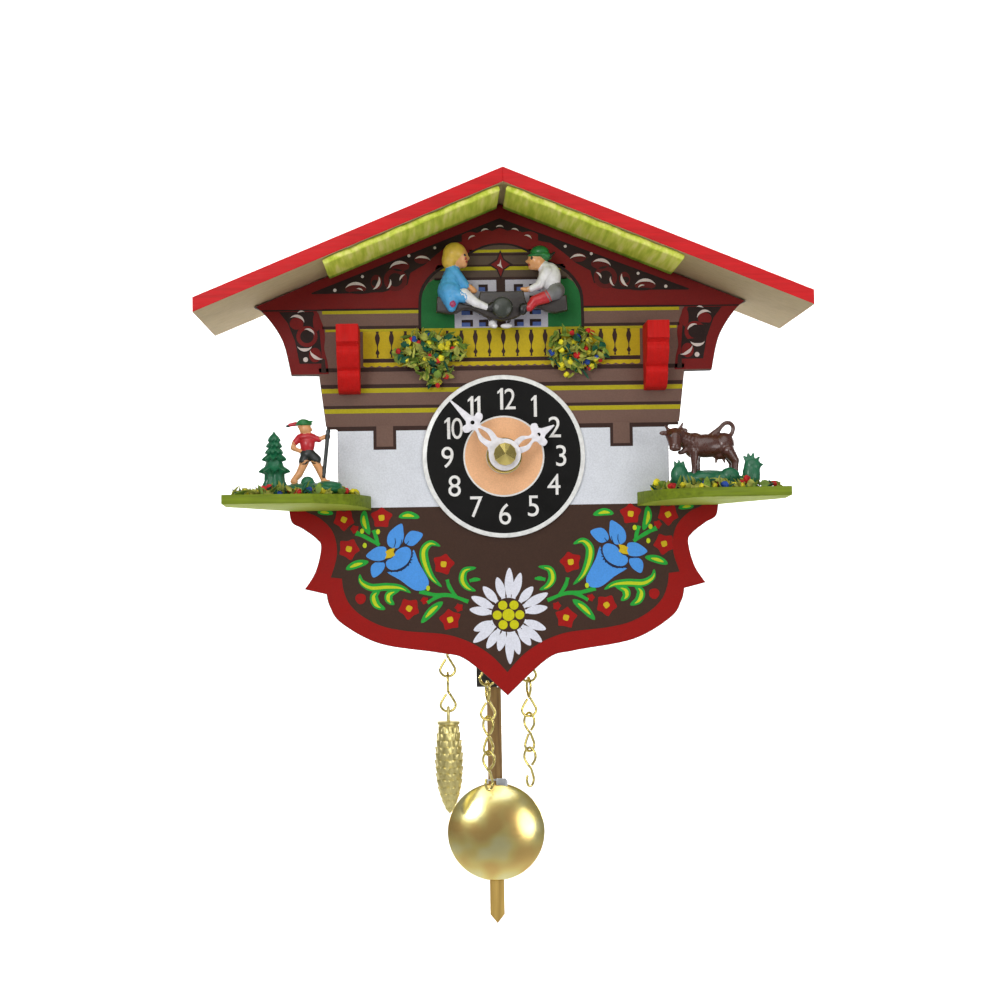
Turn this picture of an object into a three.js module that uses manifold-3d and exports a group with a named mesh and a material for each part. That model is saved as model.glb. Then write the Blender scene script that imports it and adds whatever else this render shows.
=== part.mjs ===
// Miniature chalet wall clock: a quartz movement in a wooden case, a swinging pendulum,
// a see-saw with two riders on the balcony, dummy chains and a cone weight.
// Millimetres, +Z up, front facing -Y. Every part is drawn in "dial coordinates": X and Z are zero
// at the dial centre and Y is zero on the front of the facade. The outer group then moves the
// whole clock, so that its origin is the point of the back panel that lies on the wall.

import * as THREE from 'three';
import { mergeVertices } from 'three/addons/utils/BufferGeometryUtils.js';
import Module from 'manifold-3d';

const wasm = await Module();
wasm.setup();

// ---------------------------------------------------------------- driving dimensions

const CASE_DEPTH = 20;          // facade front to wall
const WALL_POINT_Z = 36;        // height of the wall contact point above the dial centre
const BOARD = 3;                // facade and case plywood
const GAP = 0.05;               // clearance between pieces that rest on each other

const ROOF_HALF_WIDTH = 72.5;
const ROOF_SLOPE = Math.tan(THREE.MathUtils.degToRad(22.3));
const ROOF_RIDGE_UNDERSIDE = 62.8;
const ROOF_PLUMB_THICKNESS = 3.5;
const ROOF_OVERHANG = 26;

const CASE_HALF_WIDTH = 39.5;
const FLOOR_TOP = -36.5;
const BACK_PANEL = 2;
const BACK_PANEL_FRONT = CASE_DEPTH - BACK_PANEL;

const DIAL_RADIUS = 20;
const BUSH_RADIUS = 3.4;        // threaded bush that carries the hands through the dial
const BUSH_END = -4.2;
const MINUTE_ANGLE = -47;       // degrees clockwise from twelve
const HOUR_ANGLE = 61.7;

const SEESAW_Z = 35.8;          // see-saw axle height
const PENDULUM_X = -3;
const PENDULUM_PIVOT_Z = 24;
const PENDULUM_Y = 15;          // mid-plane of the pendulum
const PENDULUM_STRIP = 1.2;
const CRANK_LENGTH = 4.2;
const BOB_Z = -93.6;
const BOB_RADIUS = 12.2;
const ROD_TIP_Z = -116.5;

const CHAIN_Y = 5.5;
const WIRE_RADIUS = 0.35;
const LINK_HALF_LENGTH = 4.75;  // along the wire's centre line
const LINK_PITCH = 8.6;

const MOVEMENT_FRONT = BOARD + 0.3;
const COVER_BACK = 12.8;

// ---------------------------------------------------------------- materials

function material(hex, roughness, metalness = 0) {
  return new THREE.MeshStandardMaterial({ color: hex, roughness, metalness });
}

const printedWood = material(0x6b4f44, 0.5);
const plainWood = material(0xc9b48a, 0.8);
const redWood = material(0xb4231e, 0.6);
const greenWood = material(0xa0ac38, 0.7);
const foliage = material(0x6f8a2b, 0.8);
const darkPlastic = material(0x2a2522, 0.5);
const dialPlastic = material(0xf2f2ee, 0.4);
const whitePlastic = material(0xf4f4f4, 0.4);
const blackPlastic = material(0x141414, 0.5);
const movementPlastic = material(0x2b2d30, 0.5);
const wheelPlastic = material(0xe9e4d4, 0.5);
const polishedBrass = material(0xd9b44a, 0.2, 1);
const chainBrass = material(0xd8b95e, 0.3, 1);
const castBrass = material(0xb59a5a, 0.5, 1);
const rodWood = material(0x8a5a35, 0.6);
const steel = material(0xb8bcc0, 0.4, 1);
const copper = material(0xb06a3c, 0.4, 1);
const boardGreen = material(0x2f6b3c, 0.6);
const paintedFigure = material(0xc25b3a, 0.5);
const cowBrown = material(0x4a2418, 0.35);
const cellLabel = material(0x2e3b57, 0.4, 0.3);

// ---------------------------------------------------------------- geometry helpers

const radians = THREE.MathUtils.degToRad;

/** Welds shared corners and drops triangles that have lost their area. */
function welded(geometry) {
  const bare = geometry.clone();
  bare.deleteAttribute('normal');
  bare.deleteAttribute('uv');
  const merged = mergeVertices(bare, 1e-4);
  const source = merged.index.array;
  const kept = [];
  for (let i = 0; i < source.length; i += 3) {
    const [a, b, c] = [source[i], source[i + 1], source[i + 2]];
    if (a !== b && b !== c && c !== a) kept.push(a, b, c);
  }
  merged.setIndex(kept);
  return merged;
}

function signedVolume(geometry) {
  const corner = [new THREE.Vector3(), new THREE.Vector3(), new THREE.Vector3()];
  let sum = 0;
  for (let i = 0; i < geometry.index.count; i += 3) {
    corner.forEach((v, k) => v.fromBufferAttribute(geometry.attributes.position, geometry.index.getX(i + k)));
    sum += corner[0].dot(corner[1].clone().cross(corner[2]));
  }
  return sum;
}

/** Turns a closed geometry inside out if its faces point inwards. */
function outward(geometry) {
  const merged = welded(geometry);
  if (signedVolume(merged) < 0) {
    const flipped = Array.from(merged.index.array);
    for (let i = 0; i < flipped.length; i += 3) [flipped[i], flipped[i + 1]] = [flipped[i + 1], flipped[i]];
    merged.setIndex(flipped);
  }
  return merged;
}

function toManifold(geometry) {
  const closed = outward(geometry);
  return new wasm.Manifold(new wasm.Mesh({
    numProp: 3,
    vertProperties: new Float32Array(closed.attributes.position.array),
    triVerts: new Uint32Array(closed.index.array),
  }));
}

function toGeometry(manifold) {
  const mesh = manifold.getMesh();
  const geometry = new THREE.BufferGeometry();
  geometry.setAttribute('position', new THREE.BufferAttribute(new Float32Array(mesh.vertProperties), 3));
  geometry.setIndex(Array.from(mesh.triVerts));
  return geometry;
}

function join(first, ...others) {
  return toGeometry(others.reduce((sum, g) => sum.add(toManifold(g)), toManifold(first)));
}

function cut(first, ...others) {
  return toGeometry(others.reduce((rest, g) => rest.subtract(toManifold(g)), toManifold(first)));
}

/** Box between two X, two Y and two Z values. */
function box([x0, x1], [y0, y1], [z0, z1]) {
  const geometry = new THREE.BoxGeometry(x1 - x0, y1 - y0, z1 - z0);
  return geometry.translate((x0 + x1) / 2, (y0 + y1) / 2, (z0 + z1) / 2);
}

/** Flat plate cut to an outline of [x, z] points, standing between two Y values. */
function plate(outline, [y0, y1], holes = []) {
  const shape = new THREE.Shape(outline.map(([x, z]) => new THREE.Vector2(x, z)));
  const blank = new THREE.ExtrudeGeometry(shape, { depth: y1 - y0, bevelEnabled: false });
  blank.rotateX(Math.PI / 2).translate(0, y1, 0);
  return holes.length ? cut(blank, ...holes.map((hole) => plate(hole, [y0 - 1, y1 + 1]))) : blank;
}

/** Horizontal board cut to an outline of [x, y] points, lying between two Z values. */
function slab(outline, [z0, z1]) {
  const shape = new THREE.Shape(outline.map(([x, y]) => new THREE.Vector2(x, y)));
  return new THREE.ExtrudeGeometry(shape, { depth: z1 - z0, bevelEnabled: false }).translate(0, 0, z0);
}

/** Points of a circle in the plane of a plate. */
function circle(x, z, radius, sides) {
  return Array.from({ length: sides }, (_, i) => {
    const angle = (i * 2 * Math.PI) / sides;
    return [x + radius * Math.cos(angle), z + radius * Math.sin(angle)];
  });
}

/** Round bar along Y, turned from radius and Y pairs that start and end on the axis. */
function turned(profile, sides) {
  return new THREE.LatheGeometry(profile.map(([r, y]) => new THREE.Vector2(r, y)), sides);
}

/** Plain cylinder along Y. */
function bar(radius, [y0, y1], sides, x = 0, z = 0) {
  return new THREE.CylinderGeometry(radius, radius, y1 - y0, sides).translate(x, (y0 + y1) / 2, z);
}

/** Tube along Y. */
function tube(inner, outer, [y0, y1], sides) {
  return turned([[inner, y0], [outer, y0], [outer, y1], [inner, y1], [inner, y0]], sides);
}

/** Smooth run of [x, z] points through the given ones. */
function smooth(points, stepsPerSpan) {
  const curve = new THREE.SplineCurve(points.map(([x, z]) => new THREE.Vector2(x, z)));
  return curve.getPoints((points.length - 1) * stepsPerSpan).map((p) => [p.x, p.y]);
}

/** Closed outline from its right half, which starts and ends on the centre line. */
function symmetric(half) {
  const left = half.filter(([x]) => x > 0).map(([x, z]) => [-x, z]);
  return [...half, ...left.reverse()];
}

/** Mirrors [x, z] points when side is -1. */
function sided(side, points) {
  return points.map(([x, z]) => [side * x, z]);
}

function ball([x, y, z], [rx, ry, rz], across = 6, up = 4) {
  return new THREE.SphereGeometry(1, across, up).scale(rx, ry, rz).translate(x, y, z);
}

/** Tapered limb between two points. */
function limb(from, to, startRadius, endRadius, sides = 5) {
  const a = new THREE.Vector3(...from);
  const b = new THREE.Vector3(...to);
  const axis = b.clone().sub(a);
  const geometry = new THREE.CylinderGeometry(endRadius, startRadius, axis.length(), sides);
  const turn = new THREE.Quaternion().setFromUnitVectors(new THREE.Vector3(0, 1, 0), axis.clone().normalize());
  return geometry.applyQuaternion(turn).translate(...a.add(b).multiplyScalar(0.5).toArray());
}

/** Bent wire along a smooth path of [x, y, z] points. */
function wire(points, radius, steps, sides = 5) {
  const path = new THREE.CatmullRomCurve3(points.map((p) => new THREE.Vector3(...p)), false, 'centripetal');
  const section = new THREE.Shape(circle(0, 0, radius, sides).map(([x, y]) => new THREE.Vector2(x, y)));
  return new THREE.ExtrudeGeometry(section, { steps, bevelEnabled: false, extrudePath: path });
}

/** Gear outline with pointed teeth; phase is the angle of one tooth tip. */
function gearOutline(teeth, tipRadius, rootRadius, phase) {
  return Array.from({ length: teeth * 2 }, (_, i) => {
    const angle = phase + (i * Math.PI) / teeth;
    const radius = i % 2 === 0 ? tipRadius : rootRadius;
    return [radius * Math.cos(angle), radius * Math.sin(angle)];
  });
}

const parts = new THREE.Group();

function add(name, geometry, surface, position = [0, 0, 0], turnY = 0, group = parts) {
  const mesh = new THREE.Mesh(outward(geometry), surface);
  mesh.name = name;
  mesh.position.set(...position);
  mesh.rotation.y = turnY;
  group.add(mesh);
}

// ---------------------------------------------------------------- case

/** Underside of the roof at a distance x from the centre line. */
function roofUnderside(x) {
  return ROOF_RIDGE_UNDERSIDE - Math.abs(x) * ROOF_SLOPE;
}

function facadeBoard() {
  const gableTip = 60.7;
  const half = [
    [0, roofUnderside(0) - 0.3],
    ...smooth([[gableTip, roofUnderside(gableTip) - 0.3], [58.8, 36.5], [55.6, 32.4], [53.4, 28], [51.8, 20.7]], 2),
    [45, 20.6], [43.5, 8.1], [40.7, 7.2], [40.7, -11],
    ...smooth([[52.8, -12], [52.1, -15.4], [49.5, -17], [46.2, -19.5], [45.1, -21.7], [46.5, -27.5], [49.2, -31.8]], 2),
    ...smooth([[43.9, -33.1], [43.2, -36], [40.4, -40.2], [31, -45.4], [16.5, -47.9], [9.9, -49.8], [0, -58.6]], 2),
  ];
  const board = plate(symmetric(half), [0, BOARD], [circle(0, 0, BUSH_RADIUS + 0.2, 16), circle(0, SEESAW_Z, 1.2, 8)]);
  add('facade_board', board, printedWood);
}

function caseWalls() {
  const inner = CASE_HALF_WIDTH - BOARD;
  const depth = [BOARD + GAP, BACK_PANEL_FRONT - GAP];
  for (const [name, side] of [['side_wall_left', -1], ['side_wall_right', 1]]) {
    const outline = [
      [inner, FLOOR_TOP - BOARD], [CASE_HALF_WIDTH, FLOOR_TOP - BOARD],
      [CASE_HALF_WIDTH, roofUnderside(CASE_HALF_WIDTH) - GAP], [inner, roofUnderside(inner) - GAP],
    ];
    add(name, plate(sided(side, outline), depth), plainWood);
  }
  const floorHalf = inner - GAP;
  const pendulumSlot = box([PENDULUM_X - 7.5, PENDULUM_X + 7.5], [PENDULUM_Y - 1.6, PENDULUM_Y + 1.6],
    [FLOOR_TOP - BOARD - 1, FLOOR_TOP + 1]);
  const eyeHoles = CHAINS.map(({ x }) => vertical(0.65, [FLOOR_TOP - BOARD - 1, FLOOR_TOP + 1], x));
  const floor = box([-floorHalf, floorHalf], depth, [FLOOR_TOP - BOARD, FLOOR_TOP]);
  add('floor_board', cut(floor, pendulumSlot, ...eyeHoles), plainWood);
}

/** Upright round pin at the chain depth. */
function vertical(radius, [z0, z1], x) {
  return new THREE.CylinderGeometry(radius, radius, z1 - z0, 8).rotateX(Math.PI / 2)
    .translate(x, CHAIN_Y, (z0 + z1) / 2);
}

function backPanel() {
  const top = roofUnderside(0) - GAP;
  const shoulder = roofUnderside(CASE_HALF_WIDTH) - GAP;
  const outline = symmetric([[0, top], [CASE_HALF_WIDTH, shoulder], [CASE_HALF_WIDTH, FLOOR_TOP - BOARD],
    [0, FLOOR_TOP - BOARD]]);
  const service = [[-28, -29], [30, -29], [30, 29], [-28, 29]];
  const panel = plate(outline, [BACK_PANEL_FRONT, CASE_DEPTH], [service]);
  const pocket = box([-9.3, 9.3], [CASE_DEPTH - 0.9, CASE_DEPTH + 1], [43.8, 52.2]);
  const nailRoom = box([-6, 6], [BACK_PANEL_FRONT - 1, CASE_DEPTH], [45.5, 50.5]);
  add('back_panel', cut(panel, pocket, nailRoom), plainWood);
  // The plate lies flush in its pocket. Its keyhole hangs on the nail.
  const keyhole = [[-1.1, 50], [-1.1, 48], [-2.2, 47.2], [-2.2, 45.6], [2.2, 45.6], [2.2, 47.2], [1.1, 48], [1.1, 50]];
  const rim = [[-9, 44.1], [9, 44.1], [9, 51.9], [-9, 51.9]];
  add('hanger_plate', plate(rim, [CASE_DEPTH - 0.85, CASE_DEPTH - 0.05], [keyhole]), steel);
}

function roof() {
  const ridgeGap = 0.04;
  for (const [name, side] of [['roof_board_left', -1], ['roof_board_right', 1]]) {
    const outline = [
      [ridgeGap, roofUnderside(ridgeGap)], [ROOF_HALF_WIDTH, roofUnderside(ROOF_HALF_WIDTH)],
      [ROOF_HALF_WIDTH, roofUnderside(ROOF_HALF_WIDTH) + ROOF_PLUMB_THICKNESS],
      [ridgeGap, roofUnderside(ridgeGap) + ROOF_PLUMB_THICKNESS],
    ];
    add(name, plate(sided(side, outline), [-ROOF_OVERHANG, CASE_DEPTH]), redWood);
  }
}

/** Thin green board under each eave, with a wavy front edge. It is drawn flat and then tilted. */
function eaveTrims() {
  const inner = 1.2;
  const outer = 46;
  const waves = 6;
  const front = -ROOF_OVERHANG + 1.6;
  const stepsPerWave = 4;
  const wavy = Array.from({ length: waves * stepsPerWave + 1 }, (_, i) => {
    const along = inner + ((outer - inner) * i) / (waves * stepsPerWave);
    return [along, front - 0.7 * Math.abs(Math.sin((i * Math.PI) / stepsPerWave))];
  });
  const tilt = Math.atan(ROOF_SLOPE);
  for (const [name, side] of [['eave_trim_left', -1], ['eave_trim_right', 1]]) {
    const board = slab([...wavy, [outer, -2], [inner, -2]], [-1.5, 0]);
    board.rotateY(tilt).translate(0, 0, ROOF_RIDGE_UNDERSIDE - GAP);
    if (side < 0) board.scale(-1, 1, 1);
    add(name, board, greenWood);
  }
}

/** Carved bracket: deep at the top, drawn in below each of its two creases. */
function corbels() {
  const profile = [[0, 31.8], [11, 31.8], [11, 27.6], [9.6, 26.6], [9.9, 25], [7.8, 22], [6.4, 21], [6.6, 19.6],
    [4.2, 16.6], [0, 15.8]];
  for (const [name, side] of [['corbel_left', -1], ['corbel_right', 1]]) {
    const shape = new THREE.Shape(profile.map(([y, z]) => new THREE.Vector2(y, z)));
    const width = 5.4;
    const block = new THREE.ExtrudeGeometry(shape, { depth: width, bevelEnabled: false });
    // Shape X is forward (-Y), shape Y is up and the extrusion runs along X.
    block.applyMatrix4(new THREE.Matrix4().set(0, 0, 1, 0, -1, 0, 0, 0, 0, 1, 0, 0, 0, 0, 0, 1));
    add(name, block, redWood, [side * 37.5 - width / 2, -GAP, 0]);
  }
}

/** Shelf board: straight back edge on the facade, curved inner end, oblique outer end. */
const SHELF_TOP = -9.3;
const SHELF_THICKNESS = 2.2;
const shelfOutline = [
  ...smooth([[32.7, -GAP], [34.5, -9.5], [38.5, -17.5], [46, -23.4]], 3),
  [66.6, -24], [66.6, -15.5], [52, -GAP],
];

function shelves() {
  for (const [name, side] of [['shelf_left', -1], ['shelf_right', 1]]) {
    add(name, slab(sided(side, shelfOutline), [SHELF_TOP - SHELF_THICKNESS, SHELF_TOP]), greenWood);
  }
}

// ---------------------------------------------------------------- scenery

/** Tuft of dried flowers glued flat on the balcony, narrowing into a trail of stems. */
function flowerTufts() {
  const left = join(ball([-17.5, -2.4, 25.6], [9.4, 2.6, 5.2], 10, 6), ball([-17, -1.9, 20.5], [4.6, 1.8, 4.6]));
  const right = join(ball([18.4, -2.4, 25.8], [7.2, 2.6, 5.4], 10, 6), ball([17.6, -1.9, 22], [5, 1.8, 3.4]));
  const behind = box([-40, 40], [-GAP, 10], [0, 60]);
  add('flowers_left', cut(left, behind), foliage);
  add('flowers_right', cut(right, behind), foliage);
}

/** Walking figure with one bent arm, one arm on a staff, on its own patch of grass. */
function hiker() {
  const y = -12;
  const ground = SHELF_TOP + GAP;
  const figure = join(
    box([-53, -41.2], [y - 4, y + 4], [ground, ground + 2]),
    limb([-52, y, ground + 1.5], [-49.6, y, -3.4], 0.75, 0.8),
    limb([-49.6, y, -3.8], [-48.8, y, -0.2], 0.8, 1.1),
    limb([-43.6, y, ground + 1.5], [-45.4, y, -3.6], 0.75, 0.8),
    limb([-45.4, y, -3.9], [-47.2, y, -0.2], 0.8, 1.1),
    ball([-47.9, y, -0.1], [2, 1.4, 1.5]),
    ball([-47.7, y, 2], [1.9, 1.4, 3]),
    limb([-49, y, 3.9], [-51.2, y, 1.7], 0.75, 0.65),
    limb([-51.2, y, 1.9], [-48.9, y, -0.1], 0.65, 0.6),
    limb([-47, y, 3.7], [-42.8, y, 3.9], 0.8, 0.65),
    ball([-48, y, 5.6], [1.4, 1.4, 1.8]),
    ball([-48, y, 7.3], [2, 1.9, 0.9]),
    limb([-43, y, 5.1], [-44.6, y, ground + 1.5], 0.32, 0.32),
  );
  add('hiker', figure, paintedFigure);
}

function firTree() {
  const tiers = 5;
  const ground = SHELF_TOP + GAP;
  const [x, y] = [-56.6, -12];
  const profile = [new THREE.Vector2(0, 0), new THREE.Vector2(0.8, 0)];
  for (let i = 0; i < tiers; i += 1) {
    const base = 2 + i * 2.3;
    const wide = 3.4 * (1 - i / (tiers + 0.6));
    profile.push(new THREE.Vector2(wide, base), new THREE.Vector2(wide * 0.45, base + 2.2));
  }
  profile.push(new THREE.Vector2(0, 14.4));
  const tree = new THREE.LatheGeometry(profile, 8).rotateX(Math.PI / 2).translate(x, y, ground);
  add('fir_tree', tree, foliage);
}

function cow() {
  const y = -12;
  const ground = SHELF_TOP + GAP;
  const hoof = ground + 1.3;
  const legs = [[42.3, y - 1.2], [43.6, y + 1.2], [51.2, y - 1.2], [52.4, y + 1.2]];
  const animal = join(
    ball([47.4, y, 1.9], [6.3, 2.6, 3.1], 8, 6),
    ball([43, y, 2.2], [2.6, 2.4, 3]),
    limb([42, y, 3.2], [38.6, y, 4.4], 1.9, 1.5),
    limb([38.9, y, 4.7], [36.1, y - 0.6, 2.6], 1.6, 0.95),
    limb([38.6, y - 1, 5.4], [38.2, y - 2.5, 6.9], 0.5, 0.22),
    limb([38.6, y + 1, 5.4], [38.2, y + 2.5, 6.9], 0.5, 0.22),
    ball([49.2, y, -1], [1.8, 1.2, 1.3]),
    ...legs.map(([x, legY]) => limb([x, legY, hoof], [x - 0.2, legY, 1.2], 0.8, 1.2)),
    wire([[52.2, y, 2.6], [53.9, y, 5.8], [52.6, y, 7.6], [50.9, y, 6.9], [50.7, y, 5.6]], 0.42, 8),
    box([38.4, 55.6], [y - 3.6, y + 3.6], [ground, ground + 2]),
  );
  add('cow', animal, cowBrown);
}

// ---------------------------------------------------------------- see-saw

/** Angle of the line from the see-saw axle down to the pendulum pivot. */
const driveLine = new THREE.Vector2(PENDULUM_X, PENDULUM_PIVOT_Z - SEESAW_Z);
const crankPin = driveLine.clone().normalize().multiplyScalar(CRANK_LENGTH);

/** Beam, drawn about its own axle: two seats, a dip to the hub and a grab rail above it. */
function seesaw() {
  const axle = [0, 0, SEESAW_Z];
  const half = [
    [0, 4], [4.6, 4], [4.9, 1.4],
    ...smooth([[6.5, 0.6], [9.5, 1.2], [11.4, 2.8], [15.8, 3]], 2),
    [15.9, -0.6], [14, -1.3],
    ...smooth([[9.6, -0.9], [6.4, -1.4], [3.2, -2.4], [0, -3]], 2),
  ];
  const beam = plate(symmetric(half), [-6.3, -3.1], [circle(0, 0, 1.0, 8)]);
  add('seesaw_beam', beam, darkPlastic, axle);

  const shaft = turned([[0, -8.2], [1.6, -8.2], [2.3, -7.4], [2.3, -6.35], [0.9, -6.35], [0.9, 13.4], [0, 13.4]], 12);
  const crank = plate([
    [-1.2, 0.6], [1.2, 0.6], [crankPin.x + 0.9, crankPin.y - 0.7], [crankPin.x - 0.9, crankPin.y - 0.7],
  ], [12.4, 13.4]);
  const pin = bar(0.5, [13.2, 16.2], 8, crankPin.x, crankPin.y);
  add('seesaw_axle', join(shaft, crank, pin), steel, axle);
  riders(axle);
}

/** Two seated figures that face each other and hold the grab rail. */
function riders(axle) {
  const y = -4.7;
  const left = join(
    ball([-12.9, y, 5.8], [3.1, 2.2, 5.4]),
    ball([-13.2, y - 1.9, 2.2], [3.2, 1.1, 3]),
    limb([-12.2, y, 9.2], [-9, y, 6.2], 1.3, 1.1),
    limb([-9.4, y, 6.5], [-7, y, 5], 0.95, 0.7),
    limb([-10.6, y - 2.4, 4.4], [-4.6, y - 2.6, -0.2], 1.2, 0.9),
    ball([-3.9, y - 2.7, -0.7], [1.3, 1, 1.1]),
    ball([-11.8, y, 13.2], [2.9, 2.7, 3.3]),
  );
  const right = join(
    ball([11.6, y, 8], [2.9, 2.1, 3.9]),
    ball([12.6, y, 4.8], [2.7, 2.4, 2.4]),
    limb([11, y, 9.4], [7.6, y, 5.8], 1.3, 1),
    limb([7.9, y, 6.1], [5.2, y, 4.9], 0.95, 0.7),
    limb([12.2, y - 2.3, 4.4], [7.2, y - 2.5, 1.2], 1.6, 1.3),
    limb([7.6, y - 2.5, 1.6], [5, y - 2.6, 0.2], 1.3, 1.1),
    ball([4.4, y - 2.7, -0.6], [1.3, 1, 2]),
    ball([8.6, y, 12.1], [2.4, 2.3, 2.7]),
    ball([9.4, y, 14], [2.6, 2.4, 1.8]),
  );
  const beamRoom = box([-20, 20], [-6.35, -3.05], [-6, 3.05]);
  const railRoom = box([-4.95, 4.95], [-6.35, -3.05], [0, 4.05]);
  const hubRoom = bar(2.4, [-9, -6], 12);
  const wall = box([-20, 20], [-1.2, 5], [-10, 30]);
  add('rider_left', cut(left, beamRoom, railRoom, hubRoom, wall), paintedFigure, axle);
  add('rider_right', cut(right, beamRoom, railRoom, hubRoom, wall), paintedFigure, axle);
}

// ---------------------------------------------------------------- dial and hands

function dial() {
  const bore = circle(0, 0, BUSH_RADIUS + 0.2, 16);
  add('dial', plate(circle(0, 0, DIAL_RADIUS, 48), [-1 - GAP, -GAP], [bore]), dialPlastic);
  add('fixing_nut', tube(BUSH_RADIUS + 0.1, 4.3, [BUSH_END - 0.4, -1.1], 16), polishedBrass);
}

/** Pierced hand pointing up: a hub, an open loop, a cross with two lobes and a blade. */
function handOutline(tip, cross, hub) {
  const loop = (hub + cross - 1.5) / 2;
  return symmetric([
    [0, tip], [0.16, tip], [0.95, cross + 1.4],
    ...smooth([[1.4, cross + 0.8], [2.6, cross + 0.9], [3.1, cross - 0.2], [2.4, cross - 1], [1.3, cross - 1.3],
      [1, cross - 2.2], [1.9, loop], [1.7, hub + 0.3]], 2),
    ...circle(0, 0, hub, 24).filter(([x, z]) => x > 0.01 && z < hub * 0.8).sort((a, b) => b[1] - a[1]),
    [0, -hub],
  ]);
}

function hands() {
  const layers = [
    { name: 'hour_hand', tip: 13.2, cross: 8.9, hub: 3.2, bore: 2.55, y: [-6.1, -5.6], turn: HOUR_ANGLE, eye: 0.4 },
    { name: 'minute_hand', tip: 18.9, cross: 11, hub: 3.9, bore: 1.2, y: [-7.9, -7.4], turn: MINUTE_ANGLE, eye: 0.5 },
  ];
  for (const { name, tip, cross, hub, bore, y, turn, eye } of layers) {
    const middle = (hub + cross - 1.6) / 2 + 0.2;
    const reach = (cross - 2.6 - hub) / 2;
    const loopHole = [[0, middle + reach], [0.7, middle], [0, middle - reach], [-0.7, middle]];
    const holes = [circle(0, 0, bore, 12), loopHole, circle(0, cross, eye, 8)];
    add(name, plate(handOutline(tip, cross, hub), y, holes), whitePlastic, [0, 0, 0], radians(turn));
  }
  const nut = turned([[0, -11.6], [2.2, -10.8], [2.8, -9.6], [2.8, -8], [1.2, -8], [1.2, -9.8], [0, -9.8]], 10);
  add('hand_nut', nut, polishedBrass);
}

// ---------------------------------------------------------------- pendulum

function pendulum() {
  const half = PENDULUM_STRIP / 2;
  const depth = [PENDULUM_Y - half, PENDULUM_Y + half];
  const pivot = [PENDULUM_X, PENDULUM_PIVOT_Z];
  const up = driveLine.clone().negate().normalize();
  const across = new THREE.Vector2(up.y, -up.x);
  /** Point of the fork: distance up the drive line from the pivot and distance across it. */
  const forkPoint = (along, side) => [
    pivot[0] + up.x * along + across.x * side, pivot[1] + up.y * along + across.y * side,
  ];
  const pinAt = driveLine.length() - CRANK_LENGTH;
  const fork = plate([
    forkPoint(0, -1.6), forkPoint(pinAt + 1, -1.6), forkPoint(pinAt + 1, -0.62), forkPoint(pinAt - 1.4, -0.62),
    forkPoint(pinAt - 1.4, 0.62), forkPoint(pinAt + 1, 0.62), forkPoint(pinAt + 1, 1.6), forkPoint(0, 1.6),
  ], depth);
  const strip = plate([[-4.6, 24], [-4.6, -51], [-1.4, -51], [-1.4, 24]], depth);
  const boss = bar(2.6, depth, 12, ...pivot);
  const block = box([-7.3, -1.4], [PENDULUM_Y - 1.5, PENDULUM_Y + 1.5], [-57.2, -50]);
  const pivotHole = bar(1.05, [0, 30], 10, ...pivot);
  const tongueSlot = box([-4.1, -1.9], [PENDULUM_Y - 0.75, PENDULUM_Y + 0.75], [-60, -52]);
  add('pendulum_hanger', cut(join(strip, fork, boss, block), pivotHole, tongueSlot), blackPlastic);

  const rodOutline = [
    [0.8, -52.4], [0.8, -57.4], [1.8, -57.4], [1.8, ROD_TIP_Z + 2.2], [0, ROD_TIP_Z],
    [-1.8, ROD_TIP_Z + 2.2], [-1.8, -57.4], [-0.8, -57.4], [-0.8, -52.4],
  ];
  add('pendulum_rod', plate(rodOutline, [PENDULUM_Y - 0.4, PENDULUM_Y + 0.4]), rodWood, [PENDULUM_X, 0, 0]);

  const rim = PENDULUM_Y - 0.5;
  const crown = rim - 3;
  const shell = turned([
    [0, crown], [4, crown + 0.2], [8, crown + 1], [11, crown + 2.1], [BOB_RADIUS, rim],
    [BOB_RADIUS - 0.6, rim], [10.6, crown + 2.5], [8, crown + 1.6], [4, crown + 0.8], [0, crown + 0.6],
  ], 24);
  add('pendulum_bob', shell, polishedBrass, [PENDULUM_X, 0, BOB_Z]);
}

// ---------------------------------------------------------------- chains and weight

/** Each chain: its place, its topmost link centre, and the turn of each link about the vertical. */
const CHAINS = [
  { name: 'left', x: -14.6, top: -49.2, turns: [0, 0], open: false },
  { name: 'centre', x: -4.8, top: -51.5, turns: [0, 15, 50, 60], open: true },
  { name: 'right', x: 5.4, top: -50.8, turns: [0, 15, 50, 60], open: true },
];

/** Figure-of-eight link of bent wire. The upper loop stands across the lower one. */
function chainLink(openEnd) {
  const loop = [[0.45, 0.35], [1.45, 1.9], [1.35, 3.6], [0, LINK_HALF_LENGTH]];
  const mouth = openEnd ? [[-1.5, -2.2]] : [[-0.45, -0.45], [-1.5, -1.9]];
  const path = [
    ...mouth.map(([x, z]) => [x, 0, z]),
    [-1.35, 0, -3.6], [0, 0, -LINK_HALF_LENGTH], [1.35, 0, -3.6], [1.5, 0, -1.9], [0.45, 0, -0.35],
    ...loop.map(([y, z]) => [0, y, z]),
    [0, -1.35, 3.6], [0, -1.45, 1.9], [0, -0.5, 0.45],
  ];
  return wire(path, WIRE_RADIUS, 22);
}

/** Screw eye: a ring hanging below the floor board on a shank. */
function screwEye(x, ringBottom) {
  const ring = 1.5;
  const centre = ringBottom + ring;
  const turns = 10;
  const loop = Array.from({ length: turns + 1 }, (_, i) => {
    const angle = Math.PI / 2 + 0.25 + (i * (2 * Math.PI - 0.5)) / turns;
    return [x + ring * Math.cos(angle), CHAIN_Y, centre + ring * Math.sin(angle)];
  });
  return join(wire(loop, WIRE_RADIUS, 16), vertical(0.5, [centre + ring - 0.2, FLOOR_TOP - 0.4], x));
}

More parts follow.
